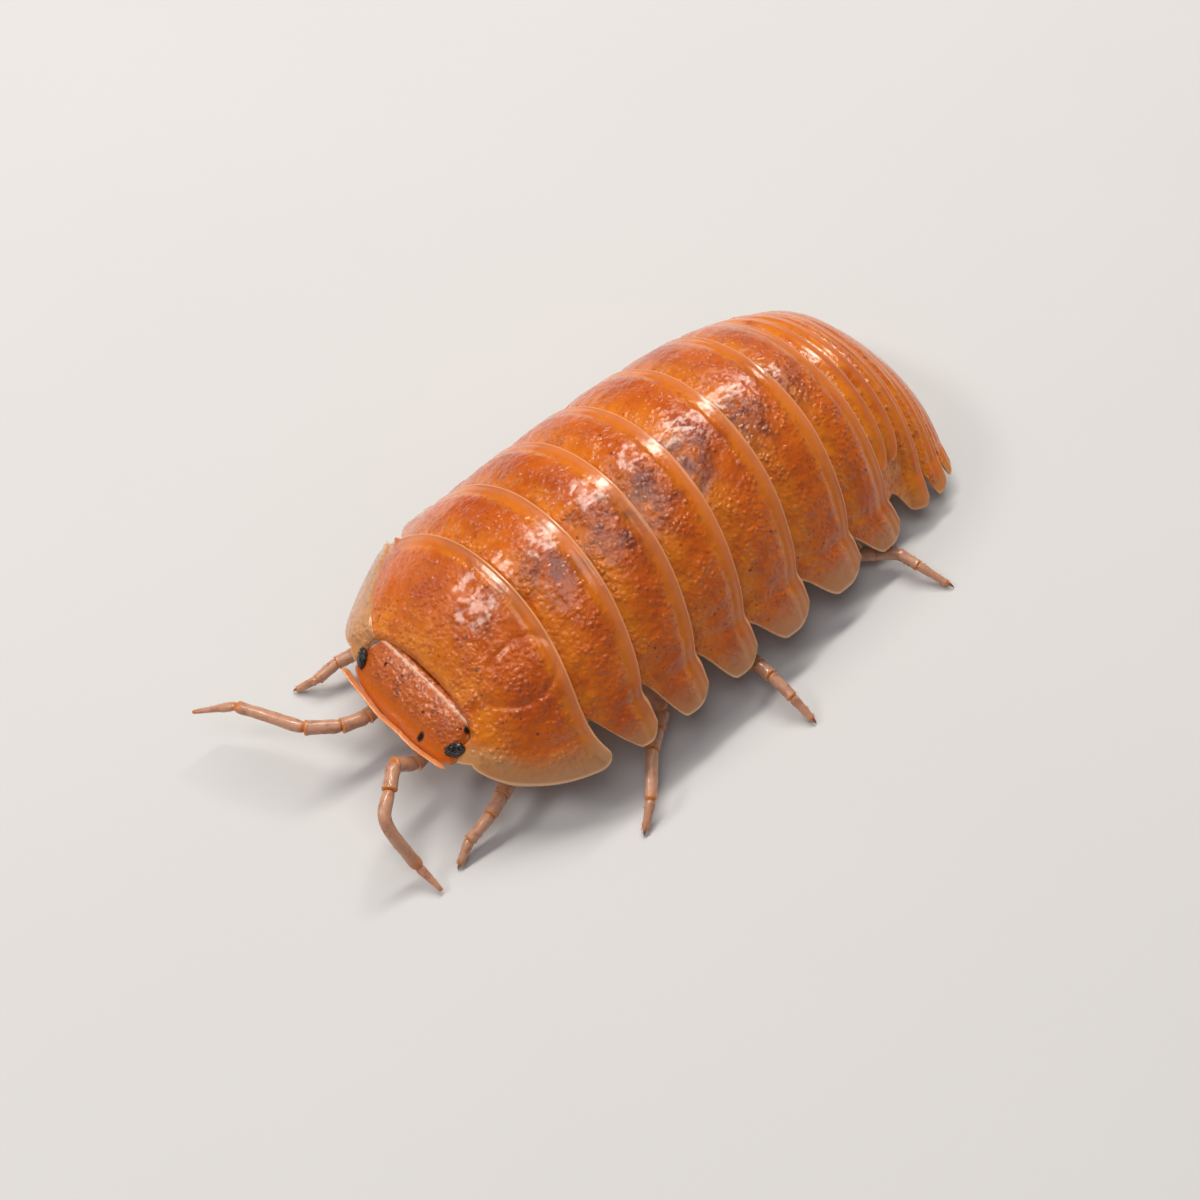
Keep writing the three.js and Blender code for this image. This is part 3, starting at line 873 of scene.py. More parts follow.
@dataclass
class Plate:
    """A thin, arched shell plate between two places on the arch, with half-round edges.

    A point of its outer face lies below the arch by its sink, plus half the wall that the rounded edge takes away,
    less its relief.
    """

    name: str
    rim: int
    start: float
    step: float
    wall: float
    lobe_wall: float
    rows: int = 86
    columns: int = 380
    rim_strength: float = 1.0
    waist: float = 0.055
    bead: float = 0.03
    groove: float = 0.025
    fold: float = 0.035
    swell: float = 0.02
    wrinkle: float = 0.018
    grit: float = 0.014

    def reach(self, along: Array) -> Array:
        """How far down the arch the plate runs: a notch in front, shallower on the rear plates, then a round lobe.

        Args:
            along: Places along the plate, 0 at its front rim and 1 at its rear rim.

        Returns:
            The edge's place across the arch, 0 at the ridge and 1 at the end of the lobe.
        """
        notch = blend(0.8, 0.89, ease(np.array(float(self.rim)), 2.0, 5.0))
        corner = np.clip((along - 0.66) / 0.34, 0.0, 1.0)
        return blend(notch, 1.0, ease(along, -0.05, 0.5)) - 0.07 * (1.0 - np.sqrt(1.0 - corner**2))

    def ahead(self, side: Array) -> Array:
        """How far the front runs ahead of the start."""
        return np.zeros_like(side)

    def short(self, side: Array) -> Array:
        """How far the rear falls short of the rim: a waist above each lobe."""
        return self.waist * bell(side, 0.86, 0.055)

    def spread(self) -> tuple[Array, Array]:
        """Grids of places along the plate and across the arch, crowded to the edges.

        Returns:
            Places along the plate and places across the arch.
        """
        across = (2.0 * crowded(self.columns, 0.8) - 1.0)[None, :]
        side = np.abs(across)
        length = 1.0 - self.start + self.ahead(side) - self.short(side)
        along = self.start - self.ahead(side) + length * crowded(self.rows, 0.85)[:, None]
        return along, across * self.reach(np.minimum(along, 1.0))

    def marks(self, along: Array, across: Array, points: Array) -> dict[str, Array]:
        """Named values for the finish: where it is plum, dotted, cream, honey or rim."""
        return {}

    def relief(self, along: Array, across: Array, points: Array, rear: Array) -> Array:
        """Height of the surface's own detail in mm: a bead and groove along the rear rim, swells and granules.

        Args:
            along: Places along the plate, 0 at its front rim and 1 at its rear rim.
            across: Places across the arch, -1 to 1.
            points: Places in mm, with the last axis x, y, z.
            rear: Distance to the rear rim in mm.

        Returns:
            Heights in mm.
        """
        side = np.abs(across)
        hem = self.bead * bell(rear, 0.06, 0.06) - self.groove * bell(rear, 0.42, 0.1)
        fold = self.fold * bell(side, 0.85, 0.03) * ease(along, 0.25, 0.55)
        swell = self.swell * cloud(points, 1.3, 11 + self.rim)
        wrinkle = self.wrinkle * cloud(points * np.array([1.0, 0.7, 1.0]), 0.4, 31 + self.rim)
        grit = self.grit * grains(points, 0.3, 51 + self.rim)
        return hem - fold + swell + (wrinkle + grit) * self.roughness(rear, side)

    def roughness(self, rear: Array, side: Array) -> Array:
        """Share of the granules that a place keeps: none on the smooth rear hem and at the lobes' ends."""
        return ease(rear, 0.3, 0.6) * ease(side, 1.0, 0.9)

    def walls(self, along: Array, across: Array, edge: Array, wall: Array, raised: Array) -> tuple[Array, Array]:
        """Outer and inner face.

        Args:
            along: Places along the plate.
            across: Places across the arch.
            edge: Distance to the plate's edge in mm.
            wall: The wall's thickness in mm.
            raised: Height of the relief in mm.

        Returns:
            Both grids of points, which meet at the edge.
        """
        held = wall * wall_share(edge, wall)
        base = sink(along, self.step) + wall / 2
        place = self.rim - 1 + along
        outer = ARCH.under(place, across, base - held / 2 - raised * ease(edge, 0.0, 0.05))
        return outer, ARCH.under(place, across, base + held / 2)

    def sheet(self) -> Sheet:
        """Works out the closed shell.

        Returns:
            The shell, with its named values.
        """
        along, across = self.spread()
        points = ARCH.point(self.rim - 1 + along, across)
        length = np.linalg.norm(ARCH.point(self.rim, across) - ARCH.point(self.rim - 1, across), axis=-1)
        rear = (along[-1:] - along) * length
        side = (self.reach(along) - np.abs(across)) * 8.0
        edge = np.minimum(np.minimum(rear, (along - along[:1]) * length), side)
        wall = blend(self.wall, self.lobe_wall, ease(np.abs(across), 0.8, 0.98))
        outer, inner = self.walls(along, across, edge, wall, self.relief(along, across, points, rear))
        veil = 0.18 * ease(rear, 0.4, 0.16) + 0.52 * ease(rear, 0.12, 0.04)
        rim = np.maximum(veil, 0.85 * ease(side, 0.1, 0.03) * ease(np.abs(across), 0.7, 0.85)) * self.rim_strength
        honey = ease(along, 0.5, 0.05) * 0.8 + 0.6 * bell(rear, 0.42, 0.16)
        values = {"rough": self.roughness(rear, np.abs(across)), "rim": rim, "honey": np.clip(honey, 0.0, 1.0)}
        blank = {"plum": np.zeros_like(along), "dot": np.zeros_like(along), "cream": np.zeros_like(along)}
        return shell_sheet(outer, inner, values | blank | self.marks(along, across, points))


@dataclass
class TrunkPlate(Plate):
    """One of the seven trunk plates, with rounded side lobes and a plum shadow along the back."""

    plum_along: float = 0.5
    plum_across: float = 0.15
    plum_strength: float = 0.9

    def marks(self, along: Array, across: Array, points: Array) -> dict[str, Array]:
        """Plum: a ragged cloud beside the midline. Cream: the thin outer part of the lobes.

        Args:
            along: Places along the plate, 0 at its front rim and 1 at its rear rim.
            across: Places across the arch, -1 to 1.
            points: Places in mm, with the last axis x, y, z.

        Returns:
            Strengths from 0 to 1, by the mark's name.
        """
        ragged = 0.3 * cloud(points, 0.8, 71 + self.rim) + 0.25 * cloud(points, 0.3, 72 + self.rim)
        away = np.hypot((along - self.plum_along) / 0.5, (across - self.plum_across) / 0.19)
        plum = self.plum_strength * ease(away + ragged, 1.3, 0.2)
        side = np.abs(across)
        cream = ease(side + 0.015 * cloud(points, 0.5, 73), 0.88, 0.99) * ease(along, 0.0, 0.4)
        return {"plum": plum, "cream": cream * 0.75}


@dataclass
class FirstPlate(TrunkPlate):
    """The first trunk plate, which clasps the head. It carries an oval scar on its left and a crease before it."""

    scar: tuple[float, float] = (0.6, 0.445)
    scar_radius: float = 1.05
    scar_depth: float = 0.045
    crease_depth: float = 0.05
    lip_height: float = 0.035
    knob: tuple[float, float] = (0.985, -0.765)
    knob_height: float = 0.1
    flank_step: float = 0.08
    cheek: float = 0.1
    waist: float = 0.0
    dots: tuple[tuple[float, float, float], ...] = (
        (0.3, 0.275, 0.1),
        (0.4, 0.095, 0.08),
        (0.86, -0.725, 0.09),
        (0.17, 0.82, 0.08),
    )

    def reach(self, along: Array) -> Array:
        """The free edge runs on down beside the head, with rounded corners.

        Args:
            along: Places along the plate, 0 at its front rim and 1 at its rear rim.

        Returns:
            The edge's place across the arch, 0 at the ridge and 1 at the end of the lobe.
        """
        rear = np.clip((along - 0.82) / 0.18, 0.0, 1.0)
        front = np.clip((0.25 - along) / 0.36, 0.0, 1.0)
        return 1.0 - 0.06 * (1.0 - np.sqrt(1.0 - rear**2)) - 0.07 * (1.0 - np.sqrt(1.0 - front**2))

    def ahead(self, side: Array) -> Array:
        """The front runs forward at both sides, below the head's cheeks."""
        return self.cheek * ease(side, 0.76, 0.93)

    def away(self, along: Array, across: Array, spot: tuple[float, float]) -> Array:
        """Distance in mm on the plate from a spot, from its place along and across."""
        return np.hypot((along - spot[0]) * 2.75, (across - spot[1]) * 6.6)

    def relief(self, along: Array, across: Array, points: Array, rear: Array) -> Array:
        """Adds the scar's ring and dome, and a crease that runs along the front of each flank.

        Args:
            along: Places along the plate, 0 at its front rim and 1 at its rear rim.
            across: Places across the arch, -1 to 1.
            points: Places in mm, with the last axis x, y, z.
            rear: Distance to the rear rim in mm.

        Returns:
            Heights in mm.
        """
        plain = super().relief(along, across, points, rear)
        away = self.away(along, across, self.scar)
        scar = self.scar_depth * (bell(away, 0.0, 0.6) / 1.5 - bell(away, self.scar_radius, 0.12))
        side = np.abs(across)
        line = along - 0.2 - 0.5 * (side - 0.5) ** 2
        crease = self.crease_depth * bell(line, 0.0, 0.05) * ease(side, 0.2, 0.4) * ease(side, 0.95, 0.75)
        lip = self.lip_height * bell(along * 2.7, 0.07, 0.06) * ease(side, 1.0, 0.9)
        knob = self.knob_height * bell(self.away(along, across, self.knob), 0.0, 0.15)
        step = self.flank_step * bell(self.flank(along, across), 0.012, 0.018)
        return plain + scar - crease + lip + knob - step

    def flank(self, along: Array, across: Array) -> Array:
        """How far beyond the line where the right lobe starts: it climbs from 0.66 at the front by 0.22."""
        return -across - (0.66 + 0.22 * along)

    def marks(self, along: Array, across: Array, points: Array) -> dict[str, Array]:
        """Adds a few dark dots, and a broad cream band along both free lobes.

        Args:
            along: Places along the plate, 0 at its front rim and 1 at its rear rim.
            across: Places across the arch, -1 to 1.
            points: Places in mm, with the last axis x, y, z.

        Returns:
            Strengths from 0 to 1, by the mark's name.
        """
        made = super().marks(along, across, points)
        dots = [ease(self.away(along, across, (a, b)), radius, radius * 0.5) for a, b, radius in self.dots]
        made["dot"] = np.max(dots, axis=0)
        ragged = 0.02 * cloud(points, 0.6, 74)
        left = ease(across + ragged - 0.07 * ease(along, 0.1, 0.4), 0.75, 0.92)
        right = ease(self.flank(along, across), 0.0, 0.03)
        made["cream"] = np.maximum(left, right) * 0.95
        return made


@dataclass
class TailPlate(Plate):
    """One of the five short tail plates. The last three have side lobes, and the third's start further forward."""

    rows: int = 48
    columns: int = 280
    rim_strength: float = 0.7
    short_reach: float = 0.74
    run: float = 1.75
    taper: float = 0.75

    @property
    def number(self) -> int:
        """The plate's number in the tail, from 1."""
        return self.rim - TRUNK_PLATES

    def reach(self, along: Array) -> Array:
        """Short on the first two plates, which the last trunk plate hides at the sides.

        Args:
            along: Places along the plate, 0 at its front rim and 1 at its rear rim.

        Returns:
            The edge's place across the arch, 0 at the ridge and 1 at the end of the lobe.
        """
        if self.number < 3:
            return np.full_like(along, self.short_reach)
        corner = np.clip((along - 0.62) / 0.38, 0.0, 1.0)
        notch, start, end = (0.88, -1.5, 0.2) if self.number == 3 else (0.86, 0.0, 0.5)
        rise = blend(notch, 0.99, ease(along, start, end))
        return rise - 0.06 * (1.0 - np.sqrt(1.0 - corner**2))

    def ahead(self, side: Array) -> Array:
        """The third plate's lobes run forward, to below the last trunk plate."""
        return self.run * ease(side, 0.74, 0.81) * (self.number == 3)

    def short(self, side: Array) -> Array:
        """The first two plates narrow to their ends."""
        return self.taper * side**12 * (self.number < 3)

    def marks(self, along: Array, across: Array, points: Array) -> dict[str, Array]:
        """Cream lobes."""
        return {"cream": ease(np.abs(across), 0.88, 0.99) * 0.7 * (self.number > 2)}


@dataclass
class FanPlate(Plate):
    """A plate of the tail fan, between two lines across the arch that draw together towards its tip."""

    inner: tuple[float, float] = (-0.4, -0.22)
    outer: tuple[float, float] = (0.4, 0.22)
    columns: int = 90
    length: float = 1.05
    breadth: float = 5.2

    def band(self, along: Array) -> tuple[Array, Array]:
        """Middle and half width between the two lines, with both rear corners rounded off.

        Args:
            along: Places along the plate, 0 at its front rim and 1 at its rear rim.

        Returns:
            The band's middle and half width, as places across the arch.
        """
        low, high = (blend(*line, np.clip(along, 0, 1)) for line in (self.inner, self.outer))
        corner = np.clip((along - 0.62) / 0.38, 0.0, 1.0)
        narrow = 1.0 - 0.45 * (1.0 - np.sqrt(1.0 - corner**2))
        return (low + high) / 2, (high - low) / 2 * narrow

    def spread(self) -> tuple[Array, Array]:
        """Grids over the band, crowded to the edges.

        Returns:
            Places along the plate and places across the arch.
        """
        along = (self.start + (1.0 - self.start) * crowded(self.rows, 0.9))[:, None]
        middle, half = self.band(along)
        return np.broadcast_arrays(along, middle + half * (2.0 * crowded(self.columns, 0.9) - 1.0)[None, :])

    def sheet(self) -> Sheet:
        """Works out the closed shell, with the distance to its own two sides.

        Returns:
            The shell, with its named values.
        """
        along, across = self.spread()
        middle, half = self.band(along)
        points = ARCH.point(self.rim - 1 + along, across)
        rear = (1.0 - along) * self.length
        side = (half - np.abs(across - middle)) * self.breadth
        edge = np.minimum(np.minimum(rear, (along - self.start) * self.length), side)
        raised = self.relief(along, across * 0, points, rear)
        outer, inner = self.walls(along, across, edge, np.full_like(edge, self.wall), raised)
        rim = np.maximum(ease(rear, 0.2, 0.08), ease(side, 0.12, 0.04) * 0.8)
        zero = np.zeros_like(edge)
        values = {"rough": zero + 0.5, "rim": rim * 0.7, "honey": zero + 0.3, "plum": zero, "dot": zero}
        return shell_sheet(outer, inner, values | {"cream": ease(rear, 0.7, 0.1) * 0.5})


@dataclass
class Armour:
    """All shell plates, head to tail."""

    plums: tuple[tuple[float, float, float], ...] = (
        (0.75, 0.1, 0.5),
        (0.5, 0.15, 0.75),
        (0.47, 0.19, 0.85),
        (0.3, 0.175, 0.9),
        (0.2, 0.185, 0.9),
        (0.2, 0.185, 0.8),
        (0.16, 0.15, 0.55),
    )

    def plates(self) -> list[Plate]:
        """The plates with their sizes.

        Returns:
            The plates, from the first trunk plate to the tail fan.
        """
        made: list[Plate] = []
        for number, plum in enumerate(self.plums, 1):
            kind = FirstPlate if number == 1 else TrunkPlate
            start, step = (0.0, 0.0) if number == 1 else (-0.17, 0.27)
            place = {"plum_along": plum[0], "plum_across": plum[1], "plum_strength": plum[2]}
            made.append(kind(f"pereonite_{number}", number, start, step, 0.2, 0.15, **place))
        for number in range(1, TAIL_PLATES + 1):
            made.append(TailPlate(f"pleonite_{number}", TRUNK_PLATES + number, -0.3, 0.2, 0.13, 0.12))
        last = TRUNK_PLATES + TAIL_PLATES + 1
        made.append(FanPlate("telson", last, -0.25, 0.1, 0.14, 0.14))
        for side, sign in SIDES.items():
            lines = [(0.45 * sign, 0.3 * sign), (0.84 * sign, 0.66 * sign)]
            inner, outer = lines if sign > 0 else lines[::-1]
            made.append(FanPlate(f"uropod_{side}", last, -0.25, 0.12, 0.14, 0.14, 48, inner=inner, outer=outer))
        return made

    def build(self, finishes: Finishes) -> None:
        """Makes each plate, which stands for the CAD node of its name."""
        for plate in self.plates():
            name = f"shell_{plate.name}"
            plate.sheet().piece(name, finishes.shell, Slot.SHELL, (plate.name,))


# ---------------------------------------------------------------- the soft body


@dataclass
class Trunk:
    """The soft body below the plates: rounded under the arch, with a bulging belly plate for each segment."""

    depth: float = 0.42
    edge: float = 0.84
    sag: float = 0.18
    bulge: float = 0.07
    first: float = 0.22
    last: float = 12.4
    rings: int = 220
    around: int = 90

    def belly(self, place: Array, share: Array) -> Array:
        """Belly points: straight from flank to flank, bulging down by sag (1 - share^2).

        Args:
            place: Places along the body, one unit from rim to rim.
            share: Places across the belly, 1 and -1 at the flanks.

        Returns:
            Points in mm, with the last axis x, y, z.
        """
        corner = ARCH.under(place, self.edge, self.depth)
        wave = self.bulge * np.abs(np.sin(np.pi * place))
        drop = (self.sag + wave) * (1.0 - share**2)
        return np.stack([corner[..., 0] * share, corner[..., 1] + 0 * share, corner[..., 2] - drop], axis=-1)

    def build(self, finishes: Finishes) -> None:
        """Makes the body as one loft from the neck to the tail.

        Args:
            finishes: The materials of the pieces.
        """
        place = np.linspace(self.first, self.last, self.rings)[:, None]
        half = self.around // 2
        over = np.linspace(-1.0, 1.0, half)[None, :]
        top = ARCH.under(place, over * self.edge, np.full((self.rings, half), self.depth))
        below = self.belly(place, np.linspace(1.0, -1.0, self.around - half + 2)[None, 1:-1])
        rings = np.concatenate([top, below], axis=1)
        loft_sheet(rings, {}).piece("soft_body", finishes.under, Slot.UNDER)


def spline(points: Array, at: Array, closed: bool = False) -> Array:
    """A smooth curve through points: cubic spans whose slope at a point is half the step between its neighbours.

    Args:
        points: The points that it runs through.
        at: Places along it. Each whole number is a point.
        closed: Whether the first point follows the last.

    Returns:
        One point for each place.
    """
    if closed:
        padded = np.concatenate([points[-1:], points, points[:2]])
    else:
        padded = np.concatenate([[2 * points[0] - points[1]], points, [2 * points[-1] - points[-2]]])
    row = np.clip(np.floor(at), 0, len(padded) - 4).astype(int)
    share = (at - row)[:, None]
    before, here, after, far = (padded[row + step] for step in range(4))
    square, cube = share**2, share**3
    return (
        here * (2 * cube - 3 * square + 1)
        + (after - before) / 2 * (cube - 2 * square + share)
        + after * (3 * square - 2 * cube)
        + (far - here) / 2 * (cube - square)
    )


@dataclass
class Head:
    """The head: a smooth closed profile in the YZ plane, carried across with rounded cheeks."""

    middle: tuple[float, float] = (-9.22, 2.15)
    rings: int = 150
    around: int = 200
    granule: float = 0.03
    unevenness: float = 0.02
    margin_height: float = 0.035
    ridge_middle: tuple[float, float, float] = (-0.06, -10.0, 2.17)
    ridge_half: float = 2.18
    ridge_height: float = 0.12
    ridge_thickness: float = 0.045
    ridge_ripple: float = 0.02
    eye_middle: tuple[float, float, float] = (2.0, -9.3, 2.5)
    eye_facing: tuple[float, float, float] = (0.52, -0.62, 0.587)
    eye_length: tuple[float, float, float] = (0.587, 0.699, 0.41)
    eye_radii: tuple[float, float, float] = (0.13, 0.31, 0.2)
    facets: int = 30
    facet_radii: tuple[float, float, float] = (0.028, 0.042, 0.042)
    profile: tuple[tuple[float, float, float], ...] = (
        (-9.9, 2.02, 2.14),
        (-9.82, 2.14, 2.16),
        (-9.64, 2.28, 2.18),
        (-9.4, 2.54, 2.18),
        (-9.05, 2.82, 2.16),
        (-8.75, 2.98, 2.12),
        (-8.45, 3.0, 2.05),
        (-8.1, 2.5, 1.8),
        (-8.3, 1.75, 1.6),
        (-8.75, 1.42, 1.5),
        (-9.15, 1.38, 1.5),
        (-9.45, 1.5, 1.55),
        (-9.56, 1.8, 1.8),
        (-9.72, 1.95, 2.05),
    )
    spots: tuple[tuple[float, float, float], ...] = ((0.93, -9.66, 0.12), (1.9, -8.75, 0.1), (-1.2, -9.05, 0.06))

    def build(self, finishes: Finishes) -> None:
        """Makes the head, its frontal ridge, eyes and mouthparts.

        Args:
            finishes: The materials of the pieces.
        """
        at = np.linspace(0.0, len(self.profile), self.around, endpoint=False)
        loop = spline(np.array(self.profile), at, closed=True)[None, :, :]
        share = np.sin(np.linspace(-1.0, 1.0, self.rings) * np.pi / 2)[:, None]
        side = np.abs(share)
        round_off = (1.0 - side**11) ** 0.42
        y = self.middle[0] + (loop[..., 0] - self.middle[0]) * round_off
        z = self.middle[1] + (loop[..., 1] - self.middle[1]) * round_off
        crown = ease(z, 2.25, 2.55)
        bow = 0.22 * side**2 * ease(y, -9.5, -9.9)
        y = y - 0.1 * side**4 * ease(y, -9.0, -8.5) + bow
        z = z - 0.16 * side**4 * crown
        x = share * loop[..., 2]
        rear = bell(y, -8.66, 0.04) * ease(side, 0.97, 0.9)
        flank = bell(side, 0.96, 0.012) * ease(y, -9.0, -8.8)
        margin = np.maximum(rear, flank) * ease(z, 2.2, 2.4)
        points = np.stack([x, y, z], axis=-1)
        outward = unit(points - np.array([0.0, *self.middle]))
        calm = crown * ease(side, 0.93, 0.85) * ease(y, -9.6, -9.4)
        bumps = (self.granule * grains(points, 0.15, 5) + self.unevenness * cloud(points, 0.3, 6)) * calm
        bumps = bumps + self.margin_height * margin
        points = points + outward * bumps[..., None]
        spots = [ease(np.hypot(x - a, (y - b) * 0.8), size, size * 0.6) for a, b, size in self.spots]
        values = {
            "pale": np.clip(margin, 0.0, 1.0),
            "amber": np.maximum(bell(y, -9.62, 0.15), ease(side, 0.88, 0.95)) * ease(z, 1.9, 2.1),
            "dot": np.max(spots, axis=0) * ease(z, 2.0, 2.2),
            "rough": calm,
        }
        loft_sheet(points, values).piece("head_capsule", finishes.head, Slot.HEAD, ("head",))
        self.ridge(finishes)
        for side_name, sign in SIDES.items():
            self.eye(side_name, sign, finishes)
        self.mouth(finishes)

    def ridge(self, finishes: Finishes) -> None:
        """The frontal ridge: a thin blade that bows forward along the brow and ends in two sharp corners.

        Its section is a small oval, high and thin, that leans back. Its height dips in the middle and the ends.

        Args:
            finishes: The materials of the pieces.
        """
        along = np.sin(np.linspace(-1.0, 1.0, 160) * np.pi / 2)[:, None]
        turn = turns(24)[None, :]
        side = np.abs(along)
        taper = np.sqrt(np.clip(1.0 - side**30, 0.0, 1.0))
        high = self.ridge_height * (1.0 + 0.25 * side**3) * taper
        thick = self.ridge_thickness * taper
        ripple = self.ridge_ripple * np.sin(along * 9.0) * (1.0 - side)
        up = high * np.sin(turn)
        out = thick * np.cos(turn)
        x = along * self.ridge_half + 0.04 * side * np.sign(along) * np.sin(turn)
        y = 0.2 * side**2.2 - up * 0.7 + out + ripple
        z = 0.07 * side**3 + up + out * 0.5 + ripple
        points = np.stack([x, y, z], axis=-1) + np.array(self.ridge_middle)
        zero = np.zeros(points.shape[:-1])
        values = {"pale": zero, "amber": zero, "dot": zero, "rough": zero + 0.3}
        # The ridge's paler skin is a painted highlight for the glint along the blade.
        loft_sheet(points, values).piece("frontal_ridge", finishes.ridge, Slot.HEAD)

    def eye(self, side: str, sign: float, finishes: Finishes) -> None:
        """An eye: a low black mound on the cheek, set with a spiral of small glossy domes.

        Args:
            side: The side's name.
            sign: The side's sign in x.
            finishes: The materials of the pieces.
        """
        mirror = np.array([sign, 1.0, 1.0])
        middle = mirror * self.eye_middle
        facing = mirror * self.eye_facing
        length = unit(mirror * self.eye_length)
        facing = unit(facing - length * (facing @ length))
        axes = np.stack([facing, length, np.cross(facing, length)])
        radii = np.array(self.eye_radii)
        step = np.arange(self.facets) + 0.5
        polar = np.arccos(1.0 - step / self.facets)
        spin = step * np.pi * (1 + 5**0.5)
        ring = np.stack([np.cos(polar), np.sin(polar) * np.cos(spin), np.sin(polar) * np.sin(spin)], axis=-1)
        sheet = ellipsoid(np.zeros(3), radii * 0.96, 24, 32)
        for direction in ring:
            sheet = sheet.joined(ellipsoid(direction * radii * 0.94, np.array(self.facet_radii), 8, 10))
        placed = outwards(Sheet(sheet.points @ axes + middle, sheet.faces, sheet.values))
        placed.piece(f"eye_facets_{side}", finishes.eye, Slot.EYE, (f"eye_{side}",))

    def mouth(self, finishes: Finishes) -> None:
        """The jaw legs under the chin: two broad flat lobes side by side, and two small palps before them.

        Args:
            finishes: The materials of the pieces.
        """
        sheet = None
        for sign in SIDES.values():
            lobe = ellipsoid(np.array([sign * 0.4, -8.85, 0.98]), np.array([0.4, 0.5, 0.26]), 20, 24)
            palp = ellipsoid(np.array([sign * 0.28, -9.25, 0.98]), np.array([0.16, 0.24, 0.14]), 14, 16)
            both = lobe.joined(palp)
            sheet = both if sheet is None else sheet.joined(both)
        sheet.piece("jaw_legs", finishes.under, Slot.UNDER, ("mouthparts",))


def ellipsoid(middle: Array, radii: Array, rings: int, around: int) -> Sheet:
    """A closed oval body: x, y, z = middle + radii times the unit sphere's point at a polar and a turning angle.

    Args:
        middle: The centre in mm.
        radii: Half widths along x, y and z in mm.
        rings: Rings between the poles.
        around: Points in a ring.

    Returns:
        The closed body.
    """
    polar = np.linspace(0.0, np.pi, rings + 2)[1:-1, None]
    turn = turns(around)[None, :]
    sphere = np.stack([np.sin(polar) * np.cos(turn), np.sin(polar) * np.sin(turn), np.cos(polar) + 0 * turn], axis=-1)
    return loft_sheet(middle + sphere * radii, {})


# ---------------------------------------------------------------- limbs


def square_frame(axis: Array) -> tuple[Array, Array]:
    """Two directions square to an axis: one level, and one as upright as it can be.

    Args:
        axis: The direction.

    Returns:
        The level and the upright direction.
    """
    level = np.cross(axis, [0.0, 0.0, 1.0])
    if np.linalg.norm(level) < 0.15:
        level = np.cross(axis, [0.0, 1.0, 0.0])
    level = unit(level)
    return level, np.cross(level, axis)


def article(path: Array, first: float, last: float, rings: int = 34, around: int = 22) -> Sheet:
    """One article of a limb along a smooth path: pinched at its root, fullest at its far rim, closed at both ends.

    Args:
        path: Points along its middle, in mm.
        first: Radius near the root.
        last: Radius near the far end.
        rings: Steps along it.
        around: Steps round it.

    Returns:
        The closed sheet, with the value joint near 1 at its ends.
    """
    share = crowded(rings, 0.75)
    centre = spline(path, share * (len(path) - 1))
    tangent = unit(np.gradient(centre, axis=0))
    level, _ = square_frame(unit(path[-1] - path[0]))
    level = unit(level - tangent * (tangent @ level)[:, None])
    upright = np.cross(level, tangent)
    swell = blend(first, last, share) * (1.0 - 0.2 * bell(share, 0.0, 0.16) - 0.06 * bell(share, 0.45, 0.2))
    swell = swell * (1.0 + 0.1 * bell(share, 0.93, 0.05))
    close = np.sqrt(np.clip(1.0 - np.abs(2.0 * share - 1.0) ** 20, 0.0, 1.0))
    radius = (swell * np.maximum(close, 0.02))[:, None, None]
    turn = turns(around)[None, :, None]
    round_about = np.cos(turn) * level[:, None] + 0.88 * np.sin(turn) * upright[:, None]
    points = centre[:, None, :] + radius * round_about
    points = points + 0.012 * cloud(points, 0.16, 9)[..., None] * round_about
    joint = np.maximum(ease(share, 0.1, 0.0), ease(share, 0.86, 0.97))
    return loft_sheet(points, {"joint": np.broadcast_to(joint[:, None], points.shape[:2])})


def spines(roots: Array, tips: Array, width: float, sides: int = 5) -> Sheet:
    """Thin straight spines, each a closed cone of a few faces from its root to its tip.

    Args:
        roots: Their roots in mm, one to a row.
        tips: Their tips, in the same order.
        width: Half the width at the root in mm.
        sides: Faces round a cone.

    Returns:
        All the spines as one sheet.
    """
    axis = unit(tips - roots)
    level = unit(np.cross(axis, [0.31, 0.2, 0.93]))
    upright = np.cross(level, axis)
    turn = turns(sides)[None, :, None]
    ring = roots[:, None] + width * (np.cos(turn) * level[:, None] + np.sin(turn) * upright[:, None])
    points = np.concatenate([ring, roots[:, None], tips[:, None]], axis=1)
    step = np.arange(sides)
    beside = (step + 1) % sides
    base = np.stack([step, beside, np.full(sides, sides), np.full(sides, sides)], axis=-1)
    cone = np.stack([beside, step, np.full(sides, sides + 1), np.full(sides, sides + 1)], axis=-1)
    faces = np.concatenate([base, cone])[None] + (np.arange(len(roots)) * (sides + 2))[:, None, None]
    flat = points.reshape(-1, 3)
    return outwards(Sheet(flat, faces.reshape(-1, 4), {"joint": np.full(len(flat), 0.4)}))


